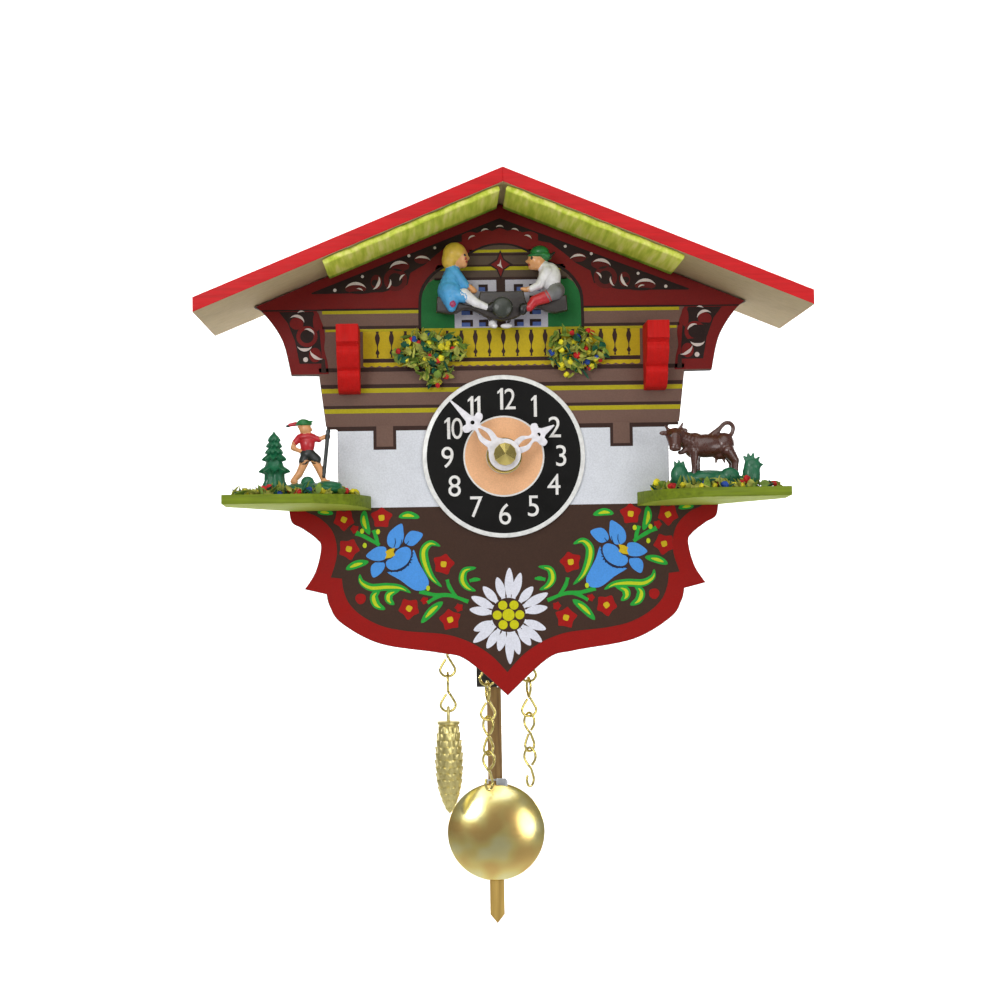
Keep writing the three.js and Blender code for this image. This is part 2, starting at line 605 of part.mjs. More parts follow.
function chains() {
  for (const { name, x, top, turns, open } of CHAINS) {
    const eyeBottom = top + LINK_HALF_LENGTH - (LINK_HALF_LENGTH * 2 - LINK_PITCH);
    add(`screw_eye_${name}`, screwEye(x, eyeBottom), chainBrass);
    turns.forEach((turn, i) => {
      const isHook = open && i === turns.length - 1;
      const place = [x, CHAIN_Y, top - i * LINK_PITCH];
      add(`chain_${name}_link_${i + 1}`, chainLink(isHook).rotateZ(radians(turn)), chainBrass, place);
    });
  }
}

/** Cast weight in the form of a fir cone, with a wire eye on top. */
function coneWeight() {
  const chain = CHAINS[0];
  const lastLink = chain.top - (chain.turns.length - 1) * LINK_PITCH;
  const eyeTop = lastLink - LINK_PITCH + LINK_HALF_LENGTH;
  const bodyTop = -65;
  const profile = [[0, bodyTop - 22.7], [1.4, bodyTop - 20.4], [2.6, bodyTop - 17], [3.3, bodyTop - 12],
    [3.4, bodyTop - 8], [2.9, bodyTop - 2.6], [2.35, bodyTop - 0.8], [2.6, bodyTop], [0, bodyTop]];
  const cone = new THREE.LatheGeometry(profile.map(([r, z]) => new THREE.Vector2(r, z)), 12).rotateX(Math.PI / 2);
  const eye = wire([[0, -0.75, bodyTop - 0.5], [0, -0.9, eyeTop - 1.3], [0, 0, eyeTop], [0, 0.9, eyeTop - 1.3],
    [0, 0.75, bodyTop - 0.5]], WIRE_RADIUS, 10);
  add('cone_weight', join(cone, eye), castBrass, [chain.x, CHAIN_Y, 0]);
}

// ---------------------------------------------------------------- movement

const MOTION_DISTANCE = 8.4;
const MOTION_DIRECTION = radians(210);
const KNOB_DIRECTION = radians(200);
const GOING_DISTANCE = 9.9;
const GOING_DIRECTION = radians(120);
const ROTOR_DISTANCE = 7.5;
const ROTOR_DIRECTION = radians(135);

/** Point at a distance and direction from another, in the plane of the wheels. */
function fromPoint([x, z], distance, direction) {
  return [x + distance * Math.cos(direction), z + distance * Math.sin(direction)];
}

const motionAt = fromPoint([0, 0], MOTION_DISTANCE, MOTION_DIRECTION);
const knobAt = fromPoint(motionAt, MOTION_DISTANCE, KNOB_DIRECTION);
const firstAt = fromPoint([0, 0], GOING_DISTANCE, GOING_DIRECTION);
const rotorAt = fromPoint(firstAt, ROTOR_DISTANCE, ROTOR_DIRECTION);

/** Phase that puts a wheel's tooth gap opposite its driver's tooth at the line of centres. */
function meshPhase(driverTeeth, driverPhase, direction, teeth) {
  const offset = -((driverPhase - direction) * driverTeeth) / teeth - Math.PI / teeth;
  return direction + Math.PI + offset;
}

function gear(teeth, tip, root, y, phase, bore = 0, sides = 10) {
  const holes = bore > 0 ? [circle(0, 0, bore, sides)] : [];
  return plate(gearOutline(teeth, tip, root, phase), y, holes);
}

function movementCase() {
  const front = MOVEMENT_FRONT;
  const wallBack = 11.7;
  const cellBack = 16;
  const gearShell = box([-26, 11], [front, wallBack], [-28, 28]);
  const cellShell = box([10, 28], [front, cellBack], [-28, 28]);
  const gearRoom = box([-25, 10], [front + 1, wallBack + 1], [-27, 27]);
  const cellRoom = box([11, 27], [front + 1, cellBack + 1], [-27, 27]);
  const bush = bar(BUSH_RADIUS, [BUSH_END, front + 0.5], 16);
  const motionPost = bar(0.6, [front + 0.5, 7.4], 8, ...motionAt);
  const bushBore = bar(2.6, [BUSH_END - 1, front + 2], 16);
  const shell = cut(join(gearShell, cellShell), gearRoom, cellRoom);
  add('movement_case', cut(join(shell, bush, motionPost), bushBore), movementPlastic);

  const rear = [wallBack + GAP, COVER_BACK];
  const coverOutline = [[-26, -28], [9.9, -28], [9.9, 28], [-26, 28]];
  const cover = plate(coverOutline, rear, [circle(...knobAt, 1.3, 10)]);
  const pivotPin = bar(1, [COVER_BACK - 0.5, PENDULUM_Y + 1.4], 10, PENDULUM_X, PENDULUM_PIVOT_Z);
  add('movement_cover', join(cover, pivotPin), movementPlastic);
}

function goingTrain() {
  const wheelTeeth = 60;
  const pinionTeeth = 6;
  const firstTeeth = 54;
  const wheelLayer = [8, 8.8];
  const firstLayer = [9.5, 10.2];
  const centre = gear(wheelTeeth, 9.2, 8.5, wheelLayer, 0, 1.55, 12);
  add('centre_wheel', centre, wheelPlastic);

  const firstPhase = meshPhase(wheelTeeth, 0, GOING_DIRECTION, pinionTeeth);
  const first = join(
    gear(pinionTeeth, 1.1, 0.55, [wheelLayer[0] - 0.3, firstLayer[0] + 0.1], firstPhase),
    gear(firstTeeth, 6.9, 6.3, firstLayer, 0),
    bar(0.45, [4.4, 11.65], 8),
  );
  add('first_wheel', first, wheelPlastic, [firstAt[0], 0, firstAt[1]]);

  const rotorPhase = meshPhase(firstTeeth, 0, ROTOR_DIRECTION, pinionTeeth);
  const rotor = join(
    gear(pinionTeeth, 0.95, 0.45, [firstLayer[0] - 0.4, firstLayer[1] + 0.4], rotorPhase),
    bar(2.4, [7.2, 8.8], 12),
    bar(0.4, [4.4, 11.65], 8),
  );
  add('rotor', rotor, steel, [rotorAt[0], 0, rotorAt[1]]);
}

function motionWork() {
  const cannonTeeth = 12;
  const motionTeeth = 36;
  const pinionTeeth = 10;
  const hourTeeth = 40;
  const hourLayer = [4.7, 5.6];
  const motionLayer = [6.2, 7];
  const arbor = join(
    turned([[0, -9.6], [1.1, -9.6], [1.1, -7.35], [1.5, -7.35], [1.5, 11.6], [0, 11.6]], 12),
    gear(cannonTeeth, 2.4, 1.7, motionLayer, 0),
  );
  add('minute_arbor', arbor, wheelPlastic);

  const motionPhase = meshPhase(cannonTeeth, 0, MOTION_DIRECTION, motionTeeth);
  const motion = cut(join(
    gear(motionTeeth, 6.5, 5.8, motionLayer, motionPhase),
    gear(pinionTeeth, 1.95, 1.3, [hourLayer[0], motionLayer[0] + 0.1], 0),
  ), bar(0.65, [0, 20], 8));
  add('motion_wheel', motion, wheelPlastic, [motionAt[0], 0, motionAt[1]]);

  const hourPhase = meshPhase(pinionTeeth, 0, MOTION_DIRECTION + Math.PI, hourTeeth);
  const hour = join(gear(hourTeeth, 6.95, 6.3, hourLayer, hourPhase, 1.8, 12), tube(1.75, 2.5, [-6.2, hourLayer[1]], 12));
  add('hour_wheel', hour, wheelPlastic);

  const knobPhase = meshPhase(motionTeeth, motionPhase, KNOB_DIRECTION, cannonTeeth);
  const knob = join(
    gear(cannonTeeth, 2.4, 1.7, motionLayer, knobPhase),
    bar(1.2, [motionLayer[0], 14], 10),
    gear(16, 4, 3.7, [13.2, 16], 0),
  );
  add('set_knob', knob, blackPlastic, [knobAt[0], 0, knobAt[1]]);
}

/** Stepping motor: a coil on the stator's core leg, and the circuit board that drives it. */
function motor() {
  const layer = [7.6, 8.4];
  const [rx, rz] = rotorAt;
  const coilZ = 24;
  const half = 7;
  const outline = [
    [rx - 4, rz - 4], [rx + 4, rz - 4], [rx + 4, rz + 3.4], [rx + half, rz + 4.4], [rx + half, coilZ + 1],
    [rx - half, coilZ + 1], [rx - half, rz + 4.4], [rx - 4, rz + 3.4],
  ];
  const window = [[rx - half + 2, coilZ - 1], [rx - half + 2, rz + 5.5], [rx + half - 2, rz + 5.5],
    [rx + half - 2, coilZ - 1]];
  add('stator', plate(outline, layer, [circle(rx, rz, 2.9, 16), window]), steel);

  const winding = tube(1.6, 2.9, [-half + 2.4, half - 2.4], 12).rotateZ(Math.PI / 2);
  add('drive_coil', winding, copper, [rx, (layer[0] + layer[1]) / 2, coilZ]);

  const board = box([-24, 9], [9.6, 10.4], [-26, -15]);
  const chip = box([-12, -6], [8.2, 9.7], [-23, -18]);
  add('circuit_board', join(board, chip), boardGreen);
}

/** One penlight cell, standing plus end up, between its two spring contacts. */
function powerCell() {
  const [x, y] = [19, 11.65];
  const profile = [[0, -25.3], [7.15, -25.3], [7.15, 23.6], [2.6, 23.6], [2.6, 24.8], [0, 24.8]];
  const cell = new THREE.LatheGeometry(profile.map(([r, z]) => new THREE.Vector2(r, z)), 20).rotateX(Math.PI / 2);
  add('battery', cell, cellLabel, [x, y, 0]);
  add('contact_plus', box([x - 4, x + 4], [6, 15.4], [25.2, 25.7]), steel);
  const spring = new THREE.CylinderGeometry(2, 3.4, 0.7, 10).rotateX(-Math.PI / 2).translate(x, y, -25.75);
  add('contact_minus', join(box([x - 4, x + 4], [6, 15.4], [-26.6, -26.1]), spring), steel);
}

// ---------------------------------------------------------------- assembly

facadeBoard();
caseWalls();
backPanel();
roof();
eaveTrims();
corbels();
shelves();
flowerTufts();
hiker();
firTree();
cow();
seesaw();
dial();
hands();
pendulum();
chains();
coneWeight();
movementCase();
goingTrain();
motionWork();
motor();
powerCell();

parts.position.set(0, -CASE_DEPTH, -WALL_POINT_Z);
const clock = new THREE.Group();
clock.add(parts);

export default clock;
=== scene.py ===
"""Looks for a miniature chalet wall clock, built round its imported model.

Shapes are drawn in millimetres in "dial coordinates": X and Z are zero at the dial centre and Y is zero
on the front of the facade. row() turns them into the metres of the model's own frame.
"""

import math
import random

import bmesh
import bpy
import numpy as np
from mathutils import Matrix, Vector


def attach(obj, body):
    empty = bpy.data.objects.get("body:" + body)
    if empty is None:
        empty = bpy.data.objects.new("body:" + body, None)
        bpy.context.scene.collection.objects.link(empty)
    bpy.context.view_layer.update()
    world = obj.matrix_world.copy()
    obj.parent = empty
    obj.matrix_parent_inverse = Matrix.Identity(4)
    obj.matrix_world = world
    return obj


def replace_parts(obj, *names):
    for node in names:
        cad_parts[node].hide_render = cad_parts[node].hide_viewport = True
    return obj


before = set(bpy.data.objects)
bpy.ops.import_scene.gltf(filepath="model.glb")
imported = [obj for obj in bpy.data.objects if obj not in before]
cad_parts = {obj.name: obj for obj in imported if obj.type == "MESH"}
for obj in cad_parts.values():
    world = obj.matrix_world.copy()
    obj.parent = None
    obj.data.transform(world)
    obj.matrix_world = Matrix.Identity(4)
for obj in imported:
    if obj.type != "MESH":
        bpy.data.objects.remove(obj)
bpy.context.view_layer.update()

MM = 0.001
DIAL_CENTRE = Vector((0.0, -0.020, -0.036))
LAYER = 0.03              # height of one layer of print
SIDES = (("left", -1), ("right", 1))
CURVE_STEPS = 8


def row(x, y, z):
    return Vector((x, y, z)) * MM + DIAL_CENTRE


# ------------------------------------------------------------------ materials

def linear(hex_colour):
    """Linear colour with alpha from an sRGB hex number."""
    parts = [((hex_colour >> shift) & 255) / 255 for shift in (16, 8, 0)]
    return tuple(c / 12.92 if c <= 0.04045 else ((c + 0.055) / 1.055) ** 2.4 for c in parts) + (1.0,)


def shaded(colour, factor):
    return tuple(min(1.0, c * factor) for c in colour[:3]) + (1.0,)


class Look:
    """A node material under construction. Texture sizes are in millimetres."""

    def __init__(self, name, roughness, metallic=0.0, coat=0.0, specular=0.5):
        self.material = bpy.data.materials.new(name)
        self.material.use_nodes = True
        self.tree = self.material.node_tree
        self.shader = self.tree.nodes["Principled BSDF"]
        for socket, value in (("Roughness", roughness), ("Metallic", metallic), ("Coat Weight", coat),
                              ("Specular IOR Level", specular)):
            self.shader.inputs[socket].default_value = value
        self.place = self.tree.nodes.new("ShaderNodeTexCoord").outputs["Object"]

    def node(self, kind, output, inputs, **settings):
        """Output of a new node whose inputs are numbers or the outputs of other nodes."""
        made = self.tree.nodes.new("ShaderNode" + kind)
        for name, value in settings.items():
            setattr(made, name, value)
        for key, value in inputs.items():
            if isinstance(value, bpy.types.NodeSocket):
                self.tree.links.new(value, made.inputs[key])
            else:
                made.inputs[key].default_value = value
        return made.outputs[output]

    def noise(self, size, stretch=(1, 1, 1), detail=3.0, offset=0.0):
        scale = [1 / s for s in stretch]
        place = self.node("Mapping", "Vector", {"Vector": self.place, "Scale": scale,
                                                "Location": (offset, offset, offset)})
        return self.node("TexNoise", "Fac", {"Vector": place, "Scale": 1 / (size * MM), "Detail": detail})

    def ramp(self, value, *stops):
        colours = self.node("ValToRGB", "Color", {"Fac": value})
        elements = colours.node.color_ramp.elements
        for element, (position, colour) in zip(elements, (stops[0], stops[-1])):
            element.position = position
            element.color = colour
        for position, colour in stops[1:-1]:
            elements.new(position).color = colour
        return colours

    def tone(self, value, base, dark, light):
        """Runs from a darker to a lighter shade of a colour over the middle of a noise."""
        return self.ramp(value, (0.3, shaded(base, dark)), (0.7, shaded(base, light)))

    def mix(self, factor, first, second):
        return self.node("Mix", 2, {"Factor": factor, 6: first, 7: second}, data_type="RGBA")

    def span(self, value, start, end, low=0.0, high=1.0):
        """Maps the numbers between start and end to those between low and high."""
        return self.node("MapRange", "Result", {"Value": value, "From Min": start, "From Max": end,
                                                "To Min": low, "To Max": high})

    def between(self, axis, low, high):
        """Runs from 0 to 1 between two places along an axis, in dial millimetres."""
        offset = DIAL_CENTRE["XYZ".index(axis)]
        along = self.node("SeparateXYZ", axis, {"Vector": self.place})
        return self.span(along, low * MM + offset, high * MM + offset)

    def colour(self, socket):
        self.tree.links.new(socket, self.shader.inputs["Base Color"])

    def roughness(self, value, low, high):
        self.tree.links.new(self.span(value, 0.3, 0.7, low, high), self.shader.inputs["Roughness"])

    def bump(self, height, depth):
        """Relief of so many millimetres."""
        normal = self.node("Bump", "Normal", {"Distance": depth * MM, "Height": height})
        self.tree.links.new(normal, self.shader.inputs["Normal"])


def print_ink(name, hex_colour, gloss=0.5):
    """Printed paper glued on wood: fine tooth, faint mottling and a satin varnish."""
    base = linear(hex_colour)
    look = Look(name, gloss, specular=0.16)
    tooth = look.noise(0.35)
    cloud = look.noise(5.0, offset=3.0)
    look.colour(look.mix(0.35, look.tone(tooth, base, 0.86, 1.1), look.tone(cloud, base, 0.88, 1.08)))
    look.roughness(cloud, gloss - 0.06, gloss + 0.12)
    look.bump(tooth, 0.012)
    return look.material


def stained_wood(name, hex_colour, along, dark=0.7, light=1.15, gloss=0.6):
    """Stained wood whose grain runs along one axis."""
    base = linear(hex_colour)
    look = Look(name, gloss, specular=0.3)
    stretch = [22.0 if axis == along else 1.0 for axis in "XYZ"]
    grain = look.noise(0.9, stretch, 4.0)
    pores = look.noise(0.25, [s * 0.6 + 0.4 for s in stretch], 2.0, offset=5.0)
    cloud = look.noise(9.0, offset=9.0)
    streaks = look.ramp(grain, (0.3, shaded(base, dark)), (0.52, base), (0.72, shaded(base, light)))
    look.colour(look.mix(0.3, streaks, look.tone(cloud, base, dark, light)))
    look.roughness(pores, gloss - 0.1, gloss + 0.15)
    look.bump(look.mix(0.5, grain, pores), 0.05)
    return look.material


def plastic(name, hex_colour, gloss=0.35, coat=0.2, tooth=0.02):
    """Painted or moulded plastic with slight pooling of the paint."""
    base = linear(hex_colour)
    look = Look(name, gloss, coat=coat)
    pool = look.noise(1.4, detail=2.0)
    fine = look.noise(0.3, offset=4.0)
    look.colour(look.tone(pool, base, 0.84, 1.08))
    look.roughness(fine, gloss - 0.08, gloss + 0.1)
    look.bump(fine, tooth)
    return look.material


def metal(name, hex_colour, gloss, dent=0.006, size=2.5):
    """Bare metal: slight waviness and a roughness that changes over the surface."""
    base = linear(hex_colour)
    look = Look(name, gloss, metallic=1.0)
    cloud = look.noise(size)
    fine = look.noise(0.2, offset=2.0)
    look.colour(look.tone(cloud, base, 0.9, 1.05))
    look.roughness(fine, gloss * 0.75, gloss * 1.35)
    look.bump(cloud, dent)
    return look.material


def tarnished_brass(name):
    """Polished brass disc with soft warm and pale patches of painted reflection."""
    look = Look(name, 0.2, metallic=1.0)
    patch = look.noise(7.0, detail=1.0, offset=1.0)
    fine = look.noise(0.2, offset=2.0)
    warm, brass, pale = linear(0xE9C478), linear(0xF2DE8C), linear(0xF6EDAE)
    # The warm and pale patches are painted reflections on the brass.
    look.colour(look.ramp(patch, (0.34, warm), (0.5, brass), (0.66, pale)))
    look.roughness(fine, 0.17, 0.27)
    look.bump(patch, 0.03)
    return look.material


def dried(name, hex_colour):
    """Dried leaf, grass or blossom: every chip has its own tone."""
    base = linear(hex_colour)
    look = Look(name, 0.7)
    chip = look.noise(1.6, detail=1.0)
    vein = look.noise(0.25, offset=6.0)
    tone = look.ramp(chip, (0.35, shaded(base, 0.6)), (0.5, base), (0.65, shaded(base, 1.35)))
    look.colour(look.mix(0.25, tone, look.tone(vein, base, 0.6, 1.3)))
    look.bump(vein, 0.06)
    return look.material


def winding(name):
    """Enamelled copper wire wound round the X axis."""
    look = Look(name, 0.3, metallic=1.0)
    turns = look.noise(0.12, (1, 60, 60), 0.0)
    look.colour(look.ramp(turns, (0.35, linear(0x6E3418)), (0.65, linear(0xC9793F))))
    look.bump(turns, 0.08)
    return look.material


def rod_stain(name):
    """Wooden pendulum rod: pale gold towards the tip, painted darker brown above as shade on its upper part.
    """
    look = Look(name, 0.45)
    grain = look.noise(0.7, (1, 1, 22), 4.0)
    brown = look.ramp(grain, (0.3, linear(0x755527)), (0.7, linear(0xA07F47)))
    gold = look.ramp(grain, (0.3, linear(0xA8853C)), (0.7, linear(0xC9A654)))
    # The brown over the upper rod is painted shade; it fades into the pale gold below.
    look.colour(look.mix(look.between("Z", -80, -92), brown, gold))
    look.bump(grain, 0.04)
    return look.material


def trim_stain(name):
    """Thin yellow-green lath with cross grain, darker green along its back edge."""
    look = Look(name, 0.6, specular=0.3)
    bands = look.noise(1.3, (1, 14, 1), 2.0)
    fine = look.noise(0.4, (1, 10, 1), 2.0, offset=4.0)
    light = look.ramp(bands, (0.3, linear(0xBDD038)), (0.5, linear(0xDCE65A)), (0.7, linear(0xF4F48A)))
    dark = look.ramp(bands, (0.3, linear(0x6F9A1E)), (0.7, linear(0x9CC23A)))
    look.colour(look.mix(look.between("Y", -6.5, -4.5), light, dark))
    look.bump(look.mix(0.5, bands, fine), 0.06)
    return look.material


INKS = {name: print_ink("ink_" + name, colour) for name, colour in {
    "siding": 0x755A4F, "siding_dark": 0x3A2620, "siding_yellow": 0xB3A61A, "balcony_yellow": 0xC2A81A,
    "ground_brown": 0x422D23, "plaster": 0xDCDFE6, "border_red": 0x9B110B, "gable_red": 0x781A18,
    # The porch ink is painted shade for the top of the opening under the gable.
    "gable_black": 0x2B1B18, "gable_scroll": 0x5F1B19, "porch_painted_shade": 0x5B4B40, "crescent_white": 0xD9CCC6,
    "shutter_green": 0x1F6B35, "pane_blue": 0x4E64A0, "frame_grey": 0xBDBAC6, "leaf_green": 0x27A53A,
    "leaf_yellow": 0xC2D223, "blossom_red": 0xA3120F, "blossom_yellow": 0xD2B41C,
    "floret_yellow": 0xCFCB14, "bell_blue": 0x4E97E6, "bell_line": 0x1B2A4A, "petal_white": 0xE4E5F0,
}.items()}
INKS.update({name: print_ink(name, colour, 0.4) for name, colour in {
    "dial_black": 0x0C0B0A, "dial_peach": 0xF8BE90, "dial_figure": 0xEDEBE8,
}.items()})

PLYWOOD = stained_wood("plywood", 0xB7A37C, "X", 0.86, 1.08, 0.75)
PLYWOOD_UPRIGHT = stained_wood("plywood_upright", 0xB7A37C, "Z", 0.86, 1.08, 0.75)
BOARD_EDGE = stained_wood("board_edge", 0x2E1D18, "X")
ROOF_RED = stained_wood("roof_red", 0xD0141A, "X", 0.78, 1.12, 0.55)
CORBEL_RED = stained_wood("corbel_red", 0xCA0E08, "Z", 0.86, 1.08, 0.7)
TRIM_GREEN = trim_stain("trim_green")
SHELF_GREEN = stained_wood("shelf_green", 0x788A1A, "X", 0.62, 1.3, 0.65)
# Lighter green for the shelves' undersides: painted light, as if bounced up from below.
SHELF_UNDERSIDE_PAINTED_LIGHT = stained_wood("shelf_underside_painted_light", 0xAAB93F, "X", 0.8, 1.1, 0.65)
# Rod wood with painted shade on its upper part.
ROD_WOOD = rod_stain("rod_wood")
ROD_EDGE = stained_wood("rod_edge", 0xD9B36A, "Z", 0.85, 1.1, 0.4)

DIAL_WHITE = plastic("dial_white", 0xEDEDEA, 0.4, 0.3, 0.006)
HAND_WHITE = plastic("hand_white", 0xF1EEF4, 0.35, 0.3, 0.008)
BLACK_PLASTIC = plastic("black_plastic", 0x100F0F, 0.4)
DARK_PLASTIC = plastic("dark_plastic", 0x2C231F, 0.4, 0.2, 0.05)
MOVEMENT_PLASTIC = plastic("movement_plastic", 0x26282B, 0.5, 0.0, 0.03)
ACETAL = plastic("acetal", 0xE6E1D2, 0.4, 0.1, 0.01)
CIRCUIT_GREEN = plastic("circuit_green", 0x1E5B34, 0.4, 0.4, 0.01)
CELL_SLEEVE = plastic("cell_sleeve", 0x2E3B57, 0.3, 0.5, 0.005)
# Bob brass with painted reflections in soft patches.
BOB_BRASS = tarnished_brass("bob_brass")
POLISHED_BRASS = metal("polished_brass", 0xDCC878, 0.17)
CHAIN_BRASS = metal("chain_brass", 0xDCCB7C, 0.2)
CAST_BRASS = metal("cast_brass", 0xE6D892, 0.36, 0.02, 1.0)
STEEL = metal("steel", 0xB9BCC0, 0.35)
COPPER = winding("copper")

PAINTS = {name: plastic("paint_" + name, *look) for name, look in {
    "skin": (0xE3A36B,), "hair": (0xD9B445, 0.45), "dress_blue": (0x4BA3DC, 0.45),
    "white": (0xE9E7EA, 0.45), "red": (0xC2202A, 0.4), "lip_red": (0xB0403A, 0.4),
    "magenta": (0xA3265A, 0.4), "grey": (0x77777A, 0.5), "dark": (0x262C2A, 0.45),
    "hat_green": (0x1F7A3E, 0.4), "fir_green": (0x136B45, 0.4, 0.3, 0.12), "eye": (0x16110F, 0.3),
}.items()}
PAINTS["black"] = BLACK_PLASTIC
PAINTS["beam"] = DARK_PLASTIC
PAINTS["cow_brown"] = plastic("cow_brown", 0x50291D, 0.3, 0.5, 0.05)
HUB_GREEN = plastic("hub_green", 0x2E332A, 0.4, 0.2, 0.03)
CHIP_STRAW = dried("chip_straw", 0xA6A946)
CHIP_OLIVE = dried("chip_olive", 0x6F8A2C)
CHIP_DARK = dried("chip_dark", 0x12573C)
CHIP_RED = dried("chip_red", 0xC81D1D)
CHIP_YELLOW = dried("chip_yellow", 0xE3D526)
CHIP_BLUE = dried("chip_blue", 0x1F479E)


# ------------------------------------------------------------------ outlines

def smooth(points, steps=CURVE_STEPS, closed=False):
    """Points of a smooth curve through the given ones."""
    count = len(points)
    spans = count if closed else count - 1

    def at(i):
        return Vector(points[i % count] if closed else points[max(0, min(count - 1, i))])

    found = []
    for i in range(spans):
        a, b, c, d = at(i - 1), at(i), at(i + 1), at(i + 2)
        for k in range(steps):
            t = k / steps
            found.append(0.5 * (2 * b + (c - a) * t + (2 * a - 5 * b + 4 * c - d) * t * t
                                + (3 * b - a - 3 * c + d) * t ** 3))
    if not closed:
        found.append(at(count - 1))
    return [tuple(p) for p in found]


def mirrored(half):
    """Closed outline from its right half, which starts and ends on the centre line."""
    return list(half) + [(-x, z) for x, z in reversed(half) if x > 1e-6]


def both(outlines):
    """The outlines and their mirror images."""
    return list(outlines) + [[(-x, z) for x, z in reversed(outline)] for outline in outlines]


def shifted(outlines, dx, dz=0.0):
    return [[(x + dx, z + dz) for x, z in outline] for outline in outlines]


def rectangle(x0, x1, z0, z1):
    return [(x0, z0), (x1, z0), (x1, z1), (x0, z1)]


def circle(sides):
    """The angles of the points of a ring."""
    return [2 * math.pi * i / sides for i in range(sides)]


def ellipse(x, z, rx, rz=None, sides=24):
    rz = rx if rz is None else rz
    return [(x + rx * math.cos(angle), z + rz * math.sin(angle)) for angle in circle(sides)]


def crescent(x, z, radius, middle, half_span, thickness, steps=10):
    """Moon shape on a circle, round the direction `middle` in degrees from +X."""
    outer, inner = [], []
    for i in range(steps + 1):
        share = i / steps
        angle = math.radians(middle + half_span * (2 * share - 1))
        depth = thickness * math.sin(math.pi * share)
        outer.append((x + radius * math.cos(angle), z + radius * math.sin(angle)))
        inner.append((x + (radius - depth) * math.cos(angle), z + (radius - depth) * math.sin(angle)))
    return outer + inner[-2:0:-1]


def ribbon(path, width, start=0.0, end=0.0, steps=6):
    """Leaf or stem: a smooth path with a width that swells in the middle.

    Start and end are the least widths there, as shares of the full one.
    """
    line = [Vector(p) for p in smooth(path, steps)]
    left, right = [], []
    for i, point in enumerate(line):
        share = i / (len(line) - 1)
        along = (line[min(i + 1, len(line) - 1)] - line[max(i - 1, 0)]).normalized()
        swell = max(math.sin(math.pi * share) ** 0.7, start * (1 - share), end * share, 0.02)
        side = Vector((-along.y, along.x)) * width * swell / 2
        left.append(tuple(point + side))
        right.append(tuple(point - side))
    return left + right[::-1]


# ------------------------------------------------------------------ meshes

def link(name, mesh, material, body):
    """Makes an object of a mesh in the row frame that rides on a body."""
    obj = bpy.data.objects.new(name, mesh)
    bpy.context.scene.collection.objects.link(obj)
    for one in material if isinstance(material, (list, tuple)) else [material]:
        mesh.materials.append(one)
    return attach(obj, body)


def tidy_mesh(bm, mesh, soft_angle=35):
    """Welds a mesh, turns its faces outward and shades it smooth up to an angle."""
    bmesh.ops.remove_doubles(bm, verts=bm.verts, dist=2e-6)
    bmesh.ops.dissolve_degenerate(bm, edges=bm.edges, dist=1e-7)
    bmesh.ops.recalc_face_normals(bm, faces=bm.faces)
    for face in bm.faces:
        face.smooth = True
    for edge in bm.edges:
        edge.smooth = len(edge.link_faces) == 2 and edge.calc_face_angle(0) < math.radians(soft_angle)
    bm.to_mesh(mesh)
    bm.free()


def curve_mesh(curve, place, soft_angle):
    """Mesh of a curve, with every point put in its place by a function. The curve itself is removed."""
    obj = bpy.data.objects.new(curve.name, curve)
    bpy.context.scene.collection.objects.link(obj)
    mesh = bpy.data.meshes.new_from_object(obj.evaluated_get(bpy.context.evaluated_depsgraph_get()))
    mesh.name = curve.name
    bpy.data.objects.remove(obj)
    bpy.data.curves.remove(curve)
    mesh.materials.clear()
    bm = bmesh.new()
    bm.from_mesh(mesh)
    for vert in bm.verts:
        vert.co = place(vert.co)
    tidy_mesh(bm, mesh, soft_angle)
    return mesh


def board(name, outlines, low, high, material, body="case", lie="front", bevel=0.0, soft_angle=35):
    """Board cut to closed outlines, where an outline inside another is a hole.

    lie "front": outlines are (X, Z), low and high are Y. lie "flat": (X, Y) and Z. lie "side": (Y, Z) and X.
    """
    curve = bpy.data.curves.new(name, "CURVE")
    curve.dimensions = "2D"
    curve.fill_mode = "BOTH"
    curve.extrude = (high - low) / 2 - bevel
    curve.bevel_depth = bevel
    curve.offset = -bevel
    curve.bevel_resolution = 2
    for outline in outlines:
        spline = curve.splines.new("POLY")
        spline.points.add(len(outline) - 1)
        for point, (u, v) in zip(spline.points, outline):
            point.co = (u, v, 0, 1)
        spline.use_cyclic_u = True
    middle = (low + high) / 2
    lay = {"front": lambda c: row(c.x, middle + c.z, c.y), "flat": lambda c: row(c.x, c.y, middle + c.z),
           "side": lambda c: row(middle + c.z, c.x, c.y)}[lie]
    return link(name, curve_mesh(curve, lay, soft_angle), material, body)


def repaint(obj, choose):
    """Gives each face the material slot that choose(normal, centre in dial millimetres) returns."""
    for face in obj.data.polygons:
        face.material_index = choose(face.normal, (face.center - DIAL_CENTRE) / MM)


def ink(name, outlines, layer, colour, base=0.0):
    """One colour of print, standing so many layers proud of the face at Y = base."""
    return board(name, outlines, base - LAYER * layer, base + 0.02, INKS[colour])


def ringed(name, rings, material, body, soft_angle=35, capped=False):
    """Skin over rings of points in dial millimetres, where a ring of one point is a tip."""
    bm = bmesh.new()
    made = [[bm.verts.new(row(*spot)) for spot in ring] for ring in rings]
    for lower, upper in zip(made, made[1:]):
        for i in range(max(len(lower), len(upper))):
            corners = [lower[i % len(lower)], lower[(i + 1) % len(lower)],
                       upper[(i + 1) % len(upper)], upper[i % len(upper)]]
            unique = list(dict.fromkeys(corners))
            if len(unique) > 2:
                bm.faces.new(unique)
    if capped:
        bm.faces.new(made[0][::-1])
        bm.faces.new(made[-1])
    mesh = bpy.data.meshes.new(name)
    tidy_mesh(bm, mesh, soft_angle)
    return link(name, mesh, material, body)


